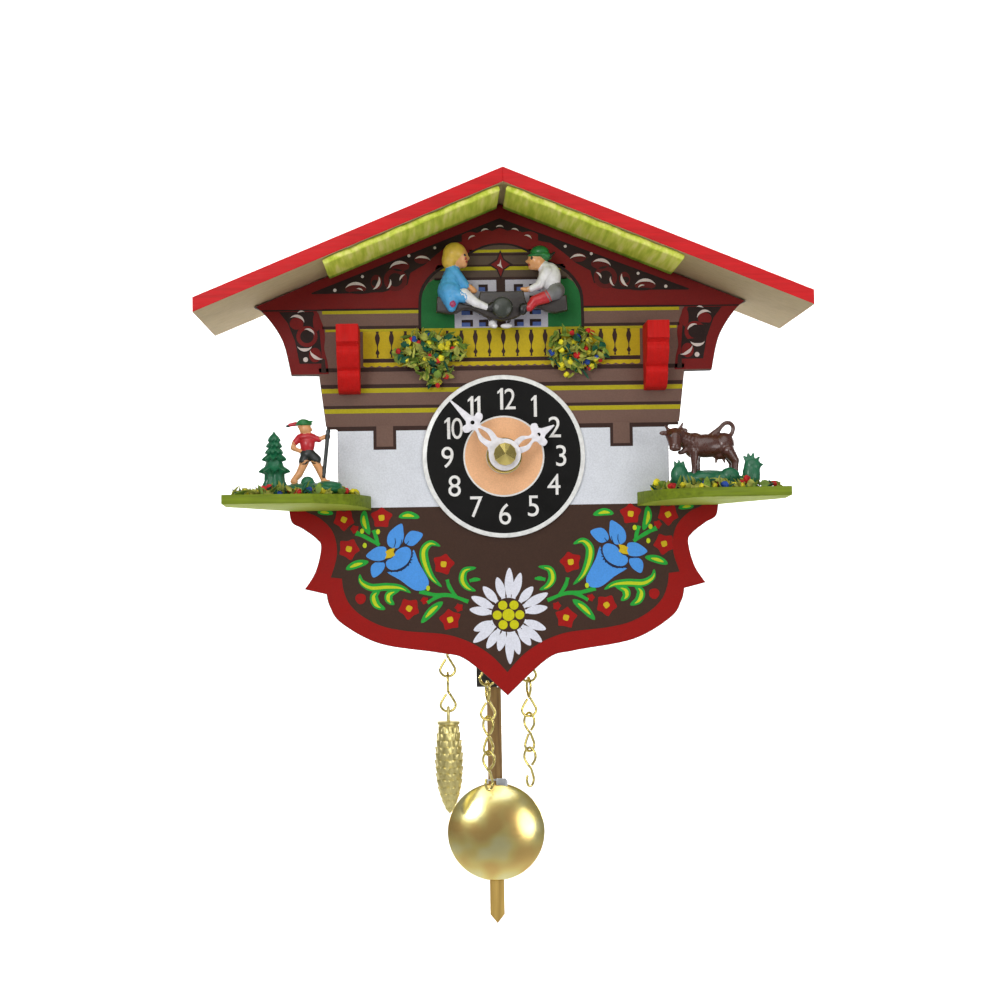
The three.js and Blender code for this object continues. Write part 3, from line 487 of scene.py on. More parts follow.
def turned(name, profile, centre, material, body="case", sides=48, axis="y", soft_angle=35):
    """Round piece from (radius, place along the axis) pairs; the centre is in dial millimetres."""
    rings = []
    for radius, along in profile:
        ring = []
        for angle in circle(sides if radius > 1e-6 else 1):
            u, v = radius * math.cos(angle), radius * math.sin(angle)
            spot = (u, along, v) if axis == "y" else (u, v, along)
            ring.append([c + s for c, s in zip(centre, spot)])
        rings.append(ring)
    return ringed(name, rings, material, body, soft_angle)


def wire(name, path, radius, material, body="case", centre=(0, 0, 0), turn=0.0, steps=8, soft_angle=60):
    """Bent round wire along a smooth path, turned about the vertical and moved to a centre."""
    curve = bpy.data.curves.new(name, "CURVE")
    curve.dimensions = "3D"
    curve.bevel_depth = radius
    curve.bevel_resolution = 3
    curve.use_fill_caps = True
    line = smooth(path, steps)
    spline = curve.splines.new("POLY")
    spline.points.add(len(line) - 1)
    for point, spot in zip(spline.points, line):
        point.co = (*spot, 1)
    spin = Matrix.Rotation(math.radians(turn), 3, "Z")
    mesh = curve_mesh(curve, lambda spot: row(*(spin @ spot + Vector(centre))), soft_angle)
    return link(name, mesh, material, body)


def beside(spot, at):
    """Vector to a spot that is given round a place. The depth is added before it is rounded."""
    place = Vector((spot[0], spot[1] + at[1], spot[2]))
    place.x += at[0]
    place.z += at[2]
    return place


class Shape:
    """Ellipsoid or limb of a modelled figure. Sizes are in millimetres."""

    def __init__(self, start, radii, end=None, end_radius=0.0):
        self.start = start
        self.radii = Vector(radii if isinstance(radii, tuple) else (radii,) * 3)
        self.end = end
        self.end_radius = end_radius

    def place(self, at):
        self.start = beside(self.start, at)
        if self.end:
            self.end = beside(self.end, at)

    def distance(self, spots):
        """How far each spot is from the surface."""
        away = spots - np.array(self.start)
        if self.end is None:
            reach = np.linalg.norm(away / np.array(self.radii), axis=1)
            return np.abs(reach - 1) * np.linalg.norm(away, axis=1) / np.maximum(reach, 1e-6)
        along = np.array(self.end - self.start)
        share = np.clip(away @ along / (along @ along), 0, 1)
        radius = self.radii.x + (self.end_radius - self.radii.x) * share
        return np.abs(np.linalg.norm(away - np.outer(share, along), axis=1) - radius)

    def balls(self):
        if self.end is None:
            return [(self.start, self.radii)]
        growth = self.end_radius - self.radii.x
        step = 0.45 * max(self.radii.x, self.end_radius)
        count = max(2, int((self.end - self.start).length / step) + 1)
        shares = [i / count for i in range(count + 1)]
        return [(self.start.lerp(self.end, s), Vector((self.radii.x + growth * s,) * 3)) for s in shares]


def blob(spot, radii):
    return Shape(spot, radii)


def limb(start, end, start_radius, end_radius):
    return Shape(start, start_radius, end, end_radius)


def figure(name, parts, at, body, voxel=0.2, rounds=2):
    """One moulded figure from overlapping shapes round the place `at` in dial millimetres.

    The shapes are listed by paint, and each face gets the paint of the shape it belongs to.
    """
    shapes = [shape for group in parts.values() for shape in group]
    slots = [slot for slot, group in enumerate(parts.values()) for _ in group]
    bm = bmesh.new()
    for shape in shapes:
        shape.place(at)
        for centre, radii in shape.balls():
            place = Matrix.Translation(centre) @ Matrix.Diagonal((*radii, 1))
            level = 3 if shape.end is None else 2
            bmesh.ops.create_icosphere(bm, subdivisions=level, radius=1.0, matrix=place)
    rough = bpy.data.meshes.new(name + "_rough")
    bm.to_mesh(rough)
    bm.free()
    obj = bpy.data.objects.new(name + "_rough", rough)
    bpy.context.scene.collection.objects.link(obj)
    remesh = obj.modifiers.new("join", "REMESH")
    remesh.mode = "VOXEL"
    remesh.voxel_size = voxel
    relax = obj.modifiers.new("relax", "SMOOTH")
    relax.factor = 0.5
    relax.iterations = rounds
    mesh = bpy.data.meshes.new_from_object(obj.evaluated_get(bpy.context.evaluated_depsgraph_get()))
    bpy.data.objects.remove(obj)
    bpy.data.meshes.remove(rough)
    mesh.name = name
    centres = np.array([face.center for face in mesh.polygons])
    nearest = np.argmin([shape.distance(centres) for shape in shapes], axis=0)
    for vert in mesh.vertices:
        vert.co = row(*vert.co)
    mesh.materials.clear()
    for face, shape in zip(mesh.polygons, nearest):
        face.use_smooth = True
        face.material_index = slots[shape]
    return link(name, mesh, [PAINTS[paint] for paint in parts], body)


# ------------------------------------------------------------------ case

ROOF_HALF_WIDTH = 72.5
ROOF_SLOPE = math.tan(math.radians(22.3))
RIDGE_UNDERSIDE = 62.8
ROOF_THICKNESS = 3.5
OVERHANG = 26.0
CASE_DEPTH = 20.0
BOARD = 3.0
SIDING_BOTTOM = 7.2
PLASTER_BOTTOM = -12.1
GABLE_BOTTOM = 36.8
PLASTER_TOP = 6.75
PLASTER_HALF = 40.6
AXIS_SHIFT = 0.4          # the printed flowers sit a little to the right of the board's axis


def roof_underside(x):
    return RIDGE_UNDERSIDE - abs(x) * ROOF_SLOPE


def siding_half_width(z):
    """Half width of the facade between the wings and the white plaster."""
    return 43.5 + (z - 8.1) * 0.12


UPPER_EDGE = [(0, roof_underside(0) - 0.3)] + smooth(
    [(60.7, roof_underside(60.7) - 0.3), (58.8, 36.5), (55.6, 32.4), (53.4, 28), (51.8, 20.7)])
MIDDLE_EDGE = [(45, 20.6), (43.5, 8.1), (PLASTER_HALF + 0.1, SIDING_BOTTOM), (PLASTER_HALF + 0.1, -11)]
LOWER_EDGE = smooth(
    [(52.8, -12), (52.1, -15.4), (49.5, -17), (46.2, -19.5), (45.1, -21.7), (46.5, -27.5), (49.2, -31.8)])
LOWER_EDGE += smooth(
    [(43.9, -33.1), (43.2, -36), (40.4, -40.2), (31, -45.4), (16.5, -47.9), (9.9, -49.8), (0, -58.6)])


def facade():
    outline = mirrored(UPPER_EDGE + MIDDLE_EDGE + LOWER_EDGE)
    panel = board("facade_panel", [outline, ellipse(0, 0, 3.6, sides=48), ellipse(0, 35.8, 1.2)], 0, BOARD,
                  [INKS["siding"], BOARD_EDGE, PLYWOOD], bevel=0.12)
    repaint(panel, lambda normal, centre: 0 if normal.y < -0.9 else 2 if normal.y > 0.9 else 1)
    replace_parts(panel, "facade_board")


def roof_boards():
    for name, side in SIDES:
        corners = [(x, roof_underside(x) + rise) for x, rise in (
            (0, 0), (ROOF_HALF_WIDTH, 0), (ROOF_HALF_WIDTH, ROOF_THICKNESS), (0, ROOF_THICKNESS))]
        planed = board("roof_" + name, [[(side * x, z) for x, z in corners]], -OVERHANG, CASE_DEPTH,
                       [ROOF_RED, PLYWOOD], bevel=0.15)
        repaint(planed, lambda normal, centre: 1 if normal.z < -0.7 or normal.y > 0.7 else 0)
        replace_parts(planed, "roof_board_" + name)


def eave_trims():
    """Thin green board under each eave with a wavy front edge, drawn flat and then tilted."""
    inner, outer, waves, front, thickness = 1.2, 46.0, 6, -OVERHANG + 1.6, 1.5
    steps = waves * 12
    wavy = [(inner + (outer - inner) * i / steps, front - 0.7 * abs(math.sin(math.pi * waves * i / steps)))
            for i in range(steps + 1)]
    tilt = math.atan(ROOF_SLOPE)
    for name, side in SIDES:
        trim = board("trim_" + name, [wavy + [(outer, -2), (inner, -2)]], -thickness, 0, TRIM_GREEN,
                     lie="flat", bevel=0.6)
        for vert in trim.data.vertices:
            x, y, z = (vert.co - DIAL_CENTRE) / MM
            run = x * math.cos(tilt) + z * math.sin(tilt)
            rise = z * math.cos(tilt) - x * math.sin(tilt)
            vert.co = row(side * run, y, rise + RIDGE_UNDERSIDE - 0.05)
        if side < 0:
            trim.data.flip_normals()
        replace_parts(trim, "eave_trim_" + name)


def corbels():
    half_width = 2.7
    carved = [(-11, 27.6), (-9.6, 26.6), (-9.9, 25), (-7.8, 22), (-6.4, 21), (-6.6, 19.6), (-4.2, 16.6),
              (-2, 15.9)]
    profile = [(0, 31.8), (-11, 31.8)] + smooth(carved, 4) + [(0, 15.8)]
    for name, side in SIDES:
        middle = side * 37.5
        block = board("bracket_" + name, [profile], middle - half_width, middle + half_width, CORBEL_RED,
                      lie="side", bevel=0.2)
        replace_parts(block, "corbel_" + name)


SHELF_TOP = -9.3
SHELF_THICKNESS = 2.2
SHELF_DEPTH = 24.0
SHELF_WEDGE = 1.2         # the shelf is this much thicker at the wall
SHELF_OUTLINE = smooth([(32.7, -0.05), (34.5, -9.5), (38.5, -17.5), (46, -23.4)])
SHELF_OUTLINE += [(66.6, -SHELF_DEPTH), (66.6, -15.5), (52, -0.05)]


def shelves():
    for name, side in SIDES:
        outline = [(side * x, y) for x, y in SHELF_OUTLINE]
        shelf = board("ledge_" + name, [outline], SHELF_TOP - SHELF_THICKNESS, SHELF_TOP,
                      [SHELF_GREEN, SHELF_UNDERSIDE_PAINTED_LIGHT], lie="flat", bevel=0.18)
        for vert in shelf.data.vertices:
            x, y, z = (vert.co - DIAL_CENTRE) / MM
            if z < SHELF_TOP - SHELF_THICKNESS / 2:
                vert.co = row(x, y, z - SHELF_WEDGE * (1 + y / SHELF_DEPTH))
        # The undersides take the lighter green, which is painted light from below.
        repaint(shelf, lambda normal, centre: 1 if normal.z < -0.7 else 0)
        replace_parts(shelf, "shelf_" + name)


# ------------------------------------------------------------------ print on the facade

def stripe(z0, z1):
    """Band across the siding between two heights."""
    margin = 0.15
    low, high = siding_half_width(z0) - margin, siding_half_width(z1) - margin
    return [(-low, z0), (low, z0), (high, z1), (-high, z1)]


ARCH = smooth([(0, 52.7), (3, 52.4), (6, 51.3), (10.5, 48.8), (15.5, 46.3), (18.2, 43.6), (19.7, 40.5),
               (20, 36), (20, 31.4)], 4)
GABLE_IN = 20.4           # where the siding meets the gable arch


def print_siding():
    upper = 44.0
    dark = [rectangle(-PLASTER_HALF, PLASTER_HALF, PLASTER_TOP, SIDING_BOTTOM)]
    heights = (SIDING_BOTTOM, 7.85), (12.3, 13.0), (17.3, 18.2), (21.3, 22.3)
    dark += [stripe(*pair) for pair in heights]
    dark += both([rectangle(GABLE_IN, upper, 31.9, 32.6), rectangle(GABLE_IN, upper, 36.5, 36.9)])
    ink("print_siding_dark", dark, 2, "siding_dark")
    yellow = [stripe(11.1, 12.2), stripe(16.1, 17.2)] + both([rectangle(GABLE_IN, upper, 35.6, 36.4)])
    ink("print_siding_yellow", yellow, 2, "siding_yellow")


def print_plaster():
    """White wall with two brown teeth that hang into it."""
    tooth_in, tooth_out, tooth_bottom, rim = 26.3, 31.9, 2.1, 0.75
    tooth = [(tooth_in, PLASTER_TOP), (tooth_in, tooth_bottom), (tooth_out, tooth_bottom),
             (tooth_out, PLASTER_TOP)]
    inside = [(tooth_out - rim, PLASTER_TOP), (tooth_out - rim, tooth_bottom + rim),
              (tooth_in + rim, tooth_bottom + rim), (tooth_in + rim, PLASTER_TOP)]
    white = [(0, PLASTER_TOP)] + tooth + [(PLASTER_HALF, PLASTER_TOP), (PLASTER_HALF, PLASTER_BOTTOM),
                                          (0, PLASTER_BOTTOM)]
    ink("print_plaster", [mirrored(white)], 2, "plaster")
    ink("print_tooth_lines", both([tooth + inside]), 3, "siding_dark")
    fill = rectangle(tooth_in + rim, tooth_out - rim, tooth_bottom + rim, 8.1)
    ink("print_teeth", both([fill]), 3, "siding")


def baluster_gaps(count=9, pitch=3.44):
    """Dark silhouettes between the balcony's balusters."""
    gap = mirrored(smooth([(0.42, 31.2), (0.3, 30.7), (0.6, 29.7), (0.45, 28.6), (0.14, 27.6), (0.14, 26.7),
                           (0.5, 25.9), (0.16, 25.3), (0.3, 24.7)], 3))
    return [one for k in range(-count, count + 1) for one in shifted([gap], k * pitch + AXIS_SHIFT)]


def print_balcony():
    half = 34.1
    ink("print_balcony", [rectangle(-half, half, 24.5, 31.5)], 2, "balcony_yellow")
    ink("print_baluster_gaps", baluster_gaps(), 3, "siding_dark")
    ink("print_balcony_rail", [rectangle(-43.3, 43.3, 31.2, 31.8)], 3, "siding_yellow")
    ink("print_balcony_foot", [rectangle(-half, half, 23.6, 24.5)], 2, "siding_dark")
    scallops, steps = 34, 6
    edge = [(-half + 2 * half * i / (scallops * steps), 22.75 - 0.35 * abs(math.sin(math.pi * i / steps)))
            for i in range(scallops * steps + 1)]
    ink("print_scallops", [[(-half, 23.5)] + edge + [(half, 23.5)]], 3, "balcony_yellow")


def print_porch():
    """Opening under the gable arch: painted shade over its top, shutters, two windows, siding above them and
    a diamond.
    """
    sill, window_top, shutter_top, shutter_in, mullion = 31.5, 43.6, 43.9, 11.5, 1.1
    upper_arch = [(x, z) for x, z in ARCH if z > shutter_top]
    # Brown sheet over the top of the opening: painted shade under the gable.
    brown = mirrored(upper_arch + [(17.9, shutter_top), (0, shutter_top)])
    ink("print_porch_shade_sheet", [brown], 1, "porch_painted_shade")
    green = [(shutter_in, sill), (19.9, sill), (19.9, 36), (19.5, 40.3), (17.9, 43), (16.4, shutter_top),
             (shutter_in, shutter_top)]
    ink("print_shutters", both([green]), 2, "shutter_green")
    ink("print_window_frames", both([rectangle(mullion, shutter_in, sill, window_top)]), 2, "frame_grey")
    spots = [(x0, x1, z) for x0, x1 in ((3.2, 5.5), (7.0, 9.8)) for z in (32.1, 35.0, 37.9, 40.8)]
    panes = [rectangle(x0, x1, z, z + 1.7) for x0, x1, z in spots]
    corners = [[(x0, z + 1.7), (x0, z), (x0 + 0.7, z), (x0 + 0.7, z + 1.0), (x1, z + 1.0), (x1, z + 1.7)]
               for x0, x1, z in spots]
    ink("print_panes", both(panes), 3, "pane_blue")
    ink("print_pane_shade", both(corners), 4, "gable_black")
    ink("print_mullion", [rectangle(-mullion, mullion, sill, window_top)], 2, "siding_dark")
    dark = [rectangle(-half, half, z0, z1) for half, z0, z1 in
            ((16.3, window_top, 44.3), (15.6, 46.9, 47.4), (9, 49.6, 50.2))]
    yellow = [rectangle(-half, half, z0, z1) for half, z0, z1 in ((16, 46.0, 46.9), (7.6, 50.4, 51.1))]
    ink("print_porch_dark", dark, 2, "siding_dark")
    ink("print_porch_yellow", yellow, 2, "siding_yellow")
    middle = 47.4
    star = mirrored([(0, 50.3), (0.7, 48.5), (2.3, middle), (0.7, 46.3), (0, 44.4)])
    ink("print_diamond_rim", [[(x * 1.35, middle + (z - middle) * 1.25) for x, z in star]], 3, "gable_black")
    ink("print_diamond", [star], 4, "gable_red")
    spark = [(0.1, 48.7), (0.15, 47.5), (0.5, 46.4), (0, 46.8), (-0.9, 47.2), (-0.2, 47.6)]
    ink("print_diamond_spark", [spark], 5, "crescent_white")


def print_gable():
    arch = [(x * 1.02, z) for x, z in ARCH]
    band = [(0, roof_underside(0) - 0.45), (60.2, roof_underside(60.2) - 0.45), (59.2, GABLE_BOTTOM),
            (GABLE_IN, GABLE_BOTTOM), (GABLE_IN, 31.6), (20.0, 31.6)]
    ink("print_gable_band", [mirrored(band + arch[-2::-1])], 2, "gable_red")
    rim = [(x, z + 0.02) for x, z in arch]
    inner_rim = [(x * 0.985, z - 0.45) for x, z in ARCH]
    ink("print_arch_line", [mirrored(rim + inner_rim[::-1])], 3, "gable_black")
    foot = rectangle(GABLE_IN, 58.8, GABLE_BOTTOM - 0.35, GABLE_BOTTOM)
    ink("print_gable_foot", both([foot]), 3, "gable_black")

    crown_half, crown_steps, crown_waves = 9.4, 24, 2.5
    panel = [(0, 58.9), (46.6, 40.9), (46.4, 40.6), (37, 40.7), (29.0, 40.9), (26.6, 41.6), (23.0, 42.6),
             (22.2, 45.6), (18.6, 47.6), (15.6, 50.2), (12.4, 52.6), (crown_half, 53.2)]
    for i in range(crown_steps + 1):
        x = crown_half * (1 - i / crown_steps)
        wave = abs(math.sin(math.pi * crown_waves * i / crown_steps))
        panel.append((x, 55.9 - 0.1176 * x + 0.5 * wave))
    ink("print_gable_black", [mirrored(panel)], 3, "gable_black")
    humps = [ellipse(35.7, 41.8, 2.6, 1.1), ellipse(30.6, 43.4, 1.4, 1.8), ellipse(24.7, 47.3, 2.3, 1.3),
             ellipse(19.4, 48.9, 1.8, 1.1)]
    ring = [ellipse(25.9, 43.9, 2.9, 2.8), ellipse(25.9, 43.9, 1.7, 1.7)]
    ink("print_gable_scrolls", both(humps + ring), 4, "gable_scroll")
    holes = [ellipse(34.6, 40.9, 2.6, 0.35), ellipse(30.9, 43.2, 0.9, 0.8)]
    ink("print_gable_holes", both(holes), 5, "gable_black")
    moons = [crescent(35.7, 40.6, 2.9, 90, 62, 0.75), crescent(31.6, 43.6, 2.0, 205, 62, 0.75),
             crescent(24.8, 46.0, 2.6, 78, 62, 0.8), crescent(19.3, 47.4, 2.4, 95, 55, 0.6),
             crescent(23.7, 44.0, 1.2, 40, 60, 0.45), crescent(28.4, 43.2, 1.5, 200, 60, 0.5),
             crescent(34.9, 41.0, 1.0, 110, 60, 0.35)]
    dots = [ellipse(x, z, radius, sides=12) for x, z, radius in
            ((40.8, 41.5, 0.42), (34.0, 44.8, 0.38), (22.5, 49.8, 0.38), (16.1, 51.7, 0.36))]
    crown = [crescent(x, z, 1.1, 90 - 4 * x, 62, 0.4) for x, z in ((0, 56.1), (3.6, 55.3), (6.7, 53.6))]
    ink("print_gable_moons", both(moons + dots) + crown[:1] + both(crown[1:]), 6, "crescent_white")


def print_wings():
    margin = 0.15
    outer = [(x - margin, z) for x, z in UPPER_EDGE[1:] if 20.7 < z < GABLE_BOTTOM]
    inner = smooth([(42.6, 20.9), (42.9, 24), (43.6, 27), (43.4, 30), (43.9, 33),
                    (45.3, GABLE_BOTTOM - 0.4)], 4)
    ink("print_wings", both([outer + [(51.5, 20.9)] + inner]), 2, "gable_red")
    panel = [(54.6, 36.3), (52.5, 33.6), (50.7, 28.9), (49.7, 23.5), (44.4, 23.5), (44.3, 26.5), (44.6, 30),
             (44.9, 33), (46.2, 36.3)]
    ink("print_wing_black", both([panel]), 3, "gable_black")
    scrolls = [ellipse(47.8, 30.2, 2.6), ellipse(47.8, 30.2, 1.65), ellipse(50.3, 33.4, 1.7, 1.5),
               ellipse(45.9, 25.6, 1.5, 1.8), ellipse(45.4, 33.8, 0.9, 2.4)]
    ink("print_wing_scrolls", both(scrolls), 4, "gable_red")
    moons = [crescent(50.3, 33.7, 1.9, 110, 75, 0.7), crescent(47.5, 30.7, 1.5, 120, 65, 0.6),
             crescent(48.4, 28.4, 1.9, 270, 70, 0.8), crescent(44.9, 26.6, 2.2, 305, 60, 0.8),
             crescent(49.1, 35.6, 1.0, 80, 60, 0.35)]
    ink("print_wing_moons", both(moons + [ellipse(48.2, 24.5, 0.6, sides=14)]), 6, "crescent_white")
    edge = [(44.4, 21.2), (43.2, 21.2), (43.5, 24.5), (44.4, 24.9)]
    ink("print_wing_shadow", both([edge]), 3, "siding_dark")


GROUND_EDGE = [(0, PLASTER_BOTTOM), (49.4, PLASTER_BOTTOM)] + smooth(
    [(48.4, -13), (45.4, -14.4), (42.5, -17.3), (41.3, -20.9), (41.4, -24.5), (42.8, -29.0)]) + smooth(
    [(40.1, -29.3), (39.7, -32.3), (38.3, -35.6), (35.2, -38.6), (30.4, -41.1), (24.4, -42.4), (16.2, -43.2),
     (12, -44.2), (7.9, -46), (3.7, -48.9), (0, -52.9)])


def wavy_flower(x, z, radius, turn=0.0, petals=5, depth=0.3, sides=40):
    """Printed blossom with pointed petals."""
    points = []
    for angle in circle(sides):
        petal = 0.45 - abs(math.sin(petals * (angle + turn) / 2))
        reach = radius * (1 + depth * petal + 0.04 * math.sin(3 * angle))
        points.append((x + reach * math.cos(angle), z + reach * math.sin(angle)))
    return points


def print_lower_field():
    edge = [(0, PLASTER_BOTTOM), (52.75, PLASTER_BOTTOM)]
    edge += [(max(0, x - 0.12), z + 0.08) for x, z in LOWER_EDGE if z < -12.2]
    ink("print_lower_border", [mirrored(edge)], 1, "border_red")
    ink("print_lower_ground", [mirrored(GROUND_EDGE)], 2, "ground_brown")


def flora(outlines):
    """Mirrored flower print, shifted to its own axis."""
    return shifted(both(outlines), AXIS_SHIFT)


BLOSSOMS = [(39.8, -14.9, 0.3), (30.6, -14.6, 0.9), (38.7, -22.1, 0.5), (24.2, -36.9, 0.2),
            (15.6, -26.2, 0.7), (14.2, -39.8, 1.1)]     # (X, Z, turn in radians)
LEAVES = [  # (path, width)
    ([(46.2, -13.0), (44.4, -12.9), (42.4, -13.4)], 1.6),
    ([(34.7, -12.7), (34.8, -15.4), (33.6, -18.7)], 2.0),
    ([(26.4, -14.5), (24.0, -14.0), (21.3, -14.7)], 1.8),
    ([(39.5, -27.1), (36.9, -25.9), (33.9, -25.3)], 1.9),
    ([(36.1, -28.3), (35.7, -30.2), (33.3, -31.6), (29.4, -31.5), (26.1, -31.8), (23.7, -33.1)], 1.9),
    ([(31.2, -32.2), (32.7, -33.7), (32.1, -35.8), (30.0, -37.0)], 2.1),
    ([(26.4, -32.3), (28.8, -33.2), (29.1, -34.7), (27.8, -35.9)], 2.0),
    ([(16.3, -21.8), (18.6, -21.0), (20.3, -22.7), (20.1, -25.7), (18.6, -29.2), (16.1, -31.8)], 2.1),
    ([(21.3, -40.5), (18.6, -37.5), (15.9, -35.4)], 2.0),
    ([(7.6, -27.2), (10.3, -27.8), (11.0, -30.0), (9.9, -31.9), (7.8, -32.9)], 1.9),
]
STEMS = [  # (path, width at the start, width at the end)
    ([(21.6, -32.7), (17.8, -33.7), (14.0, -33.9), (9.7, -35.5)], 1.2, 1.0),
    ([(14.8, -30.0), (14.2, -31.9), (12.5, -34.5)], 1.0, 1.0),
    ([(19.7, -35.6), (17.1, -34.1), (14.8, -33.7)], 0.9, 0.9),
    ([(9.3, -30.4), (8.0, -30.1), (6.7, -30.1)], 0.9, 0.5),
    ([(36.9, -18.2), (34.5, -19.3), (31.2, -21.3)], 1.3, 0.9),
    ([(32.6, -17.6), (32.0, -19.4), (31.5, -21.3)], 1.1, 0.9),
]


def print_leaves():
    """Each leaf overlaps its neighbours, so every one is a sheet of ink of its own height."""
    for i, (path, width) in enumerate(LEAVES):
        ink(f"print_leaf_{i + 1}", flora([ribbon(path, width)]), 3 + 0.12 * i, "leaf_green")
        narrow = [(x + 0.12, z - 0.1) for x, z in smooth(path, 4)][2:-2]
        ink(f"print_leaf_light_{i + 1}", flora([ribbon(narrow, width * 0.42)]), 4.6 + 0.1 * i, "leaf_yellow")
    for i, (path, start, end) in enumerate(STEMS):
        ink(f"print_stem_{i + 1}", flora([ribbon(path, 1.0, start, end)]), 4.25 + 0.05 * i, "leaf_green")
    spots = (35.4, -17.8), (31.5, -18.0), (34.8, -21.3), (19.5, -32.0)
    ink("print_buds", flora([ellipse(x, z, 0.5, 0.65, 14) for x, z in spots]), 6.5, "leaf_yellow")


def print_red_flowers():
    for i, (x, z, turn) in enumerate(BLOSSOMS):
        ink(f"print_blossom_{i + 1}", flora([wavy_flower(x, z, 2.45, turn)]), 3 + 0.1 * i, "blossom_red")
        eye = wavy_flower(x, z, 0.8, turn, 4, 0.2, 20)
        ink(f"print_blossom_eye_{i + 1}", flora([eye]), 5, "blossom_yellow")
    small = [wavy_flower(37.2, -17.3, 1.0), wavy_flower(36.0, -34.3, 1.3, depth=0.03),
             wavy_flower(20.4, -35.0, 0.9), wavy_flower(12.0, -36.9, 1.0)]
    ink("print_small_blossoms", flora(small), 4, "blossom_red")


def print_bellflowers():
    petals = [
        [(25.8, -16.1), (25.3, -17.9), (25.3, -19.8), (26.3, -21.8), (27.8, -22.1), (29.1, -21.3),
         (29.3, -19.6), (28.4, -17.8)],
        [(20.6, -18.7), (21.6, -20.5), (23.1, -21.6), (24.6, -21.2), (25.1, -20.3), (24.4, -18.7),
         (23.0, -17.9)],
        [(34.5, -23.8), (33.3, -22.6), (31.7, -21.7), (29.8, -21.8), (29.5, -23.3), (30.0, -24.8),
         (32.1, -25.1), (33.7, -24.6)],
        [(32.7, -29.2), (33.4, -27.9), (33.2, -26.2), (31.7, -25.3), (30.2, -25.6), (30.0, -26.6),
         (30.9, -28.1)],
        [(27.2, -22.9), (26.1, -22.1), (24.6, -21.8), (23.6, -22.6), (23.6, -24.0), (24.2, -25.5),
         (25.4, -26.6), (27.2, -27.4), (28.7, -27.3), (29.6, -26.4), (29.5, -25.1), (28.1, -24.4)],
    ]
    ink("print_bell_petals", flora([smooth(petal, 4, closed=True) for petal in petals]), 6, "bell_blue")
    bell = [(22.9, -22.5), (21.8, -25.4), (20.3, -28.2), (19.3, -30.3), (19.8, -32.1), (21.9, -32.6),
            (23.7, -31.9), (26.3, -29.9), (29.4, -28.0), (27.0, -27.9), (25.2, -27.2), (23.8, -25.6)]
    ink("print_bell_cups", flora([smooth(bell, 3, closed=True)]), 5.5, "bell_blue")
    frill = smooth([(29.3, -27.75), (27.0, -27.65), (25.3, -27.0), (24.0, -25.9), (23.4, -24.6),
                    (23.0, -23.2)], 4)
    teeth = [(x + 0.28 * math.cos(9.0 * i), z + 0.28 * math.sin(9.0 * i)) for i, (x, z) in enumerate(frill)]
    ink("print_bell_frill", flora([ribbon(teeth, 0.42, 0.5, 0.5, 1)]), 7, "bell_line")
    lines = [ribbon(path, 0.22, 0.6, 0.6, 2) for path in (
        [(27.4, -19.6), (27.3, -20.8), (27.7, -22.0)], [(24.0, -20.4), (24.7, -21.3), (25.4, -21.5)],
        [(29.3, -25.1), (30.4, -25.4), (32.2, -25.4)], [(25.7, -20.0), (26.0, -21.3), (26.6, -22.2)])]
    ink("print_bell_lines", flora(lines), 7.4, "bell_line")
    eye = [(27.4, -22.0), (27.8, -23.0), (27.4, -23.8), (28.5, -24.4), (29.9, -24.6), (29.5, -23.6),
           (29.8, -22.9), (28.8, -22.3)]
    ink("print_bell_eyes", flora([eye]), 7.8, "blossom_yellow")


PETALS = [  # (degrees clockwise from the top, length)
    (2, 11.5), (17, 10.7), (42, 9.1), (62, 11.0), (80, 9.7), (112, 9.8), (130, 10.5), (145, 9.2),
    (166, 10.0), (179, 12.0), (196, 9.1), (214, 9.7), (233, 10.9), (247, 9.3), (279, 9.6), (297, 10.1),
    (319, 9.3), (344, 9.6),
]


def print_edelweiss():
    """White star flower with a ring of florets round a larger one."""
    centre, heart = Vector((0.5, -38.9)), 4.1
    petals = []
    for angle, length in PETALS:
        way = Vector((math.sin(math.radians(angle)), math.cos(math.radians(angle))))
        path = [tuple(centre + way * (heart + (length - heart) * share)) for share in (0, 0.33, 0.66, 1)]
        petals.append(ribbon(path, 2.15, 0.5, 0.12))
    ink("print_star_petals_a", petals[::2], 3, "petal_white")
    ink("print_star_petals_b", petals[1::2], 3.3, "petal_white")
    ink("print_star_heart", [ellipse(*centre, 4.2, sides=40)], 4, "ground_brown")
    florets = [ellipse(*centre, 1.5)]
    florets += [ellipse(x, z, 1.12) for x, z in ellipse(*centre, 2.75, sides=6)]
    ink("print_star_florets", florets, 5, "floret_yellow")


def facade_print():
    print_siding()
    print_plaster()
    print_balcony()
    print_porch()
    print_gable()
    print_wings()
    print_lower_field()
    print_leaves()
    print_red_flowers()
    print_bellflowers()
    print_edelweiss()


# ------------------------------------------------------------------ dial and hands

def dial():
    """Dial disc with its printed rings. A circle is a radius and a number of sides."""
    disc = board("dial_disc", [ellipse(0, 0, 20, sides=96), ellipse(0, 0, 3.6, sides=48)], -1.05, -0.05,
                 DIAL_WHITE, bevel=0.2)
    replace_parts(disc, "dial")
    face = -1.05
    rings = [("ring", (18.9, 96), (9.95, 72), 1, "dial_black"),
             ("line", (9.95, 72), (9.55, 72), 2, "dial_figure"),
             ("centre", (9.55, 72), (4.4, 48), 1, "dial_peach")]
    for name, outer, inner, layer, colour in rings:
        outlines = [ellipse(0, 0, radius, sides=sides) for radius, sides in (outer, inner)]
        ink("dial_" + name, outlines, layer, colour, base=face)
    for hour in range(1, 13):
        numeral(hour, 14.1, face - 2 * LAYER)


NUDGE = {12: 0.9, 1: 0.6, 2: 0.4, 9: 0.3}      # numbers that are printed a little to the right


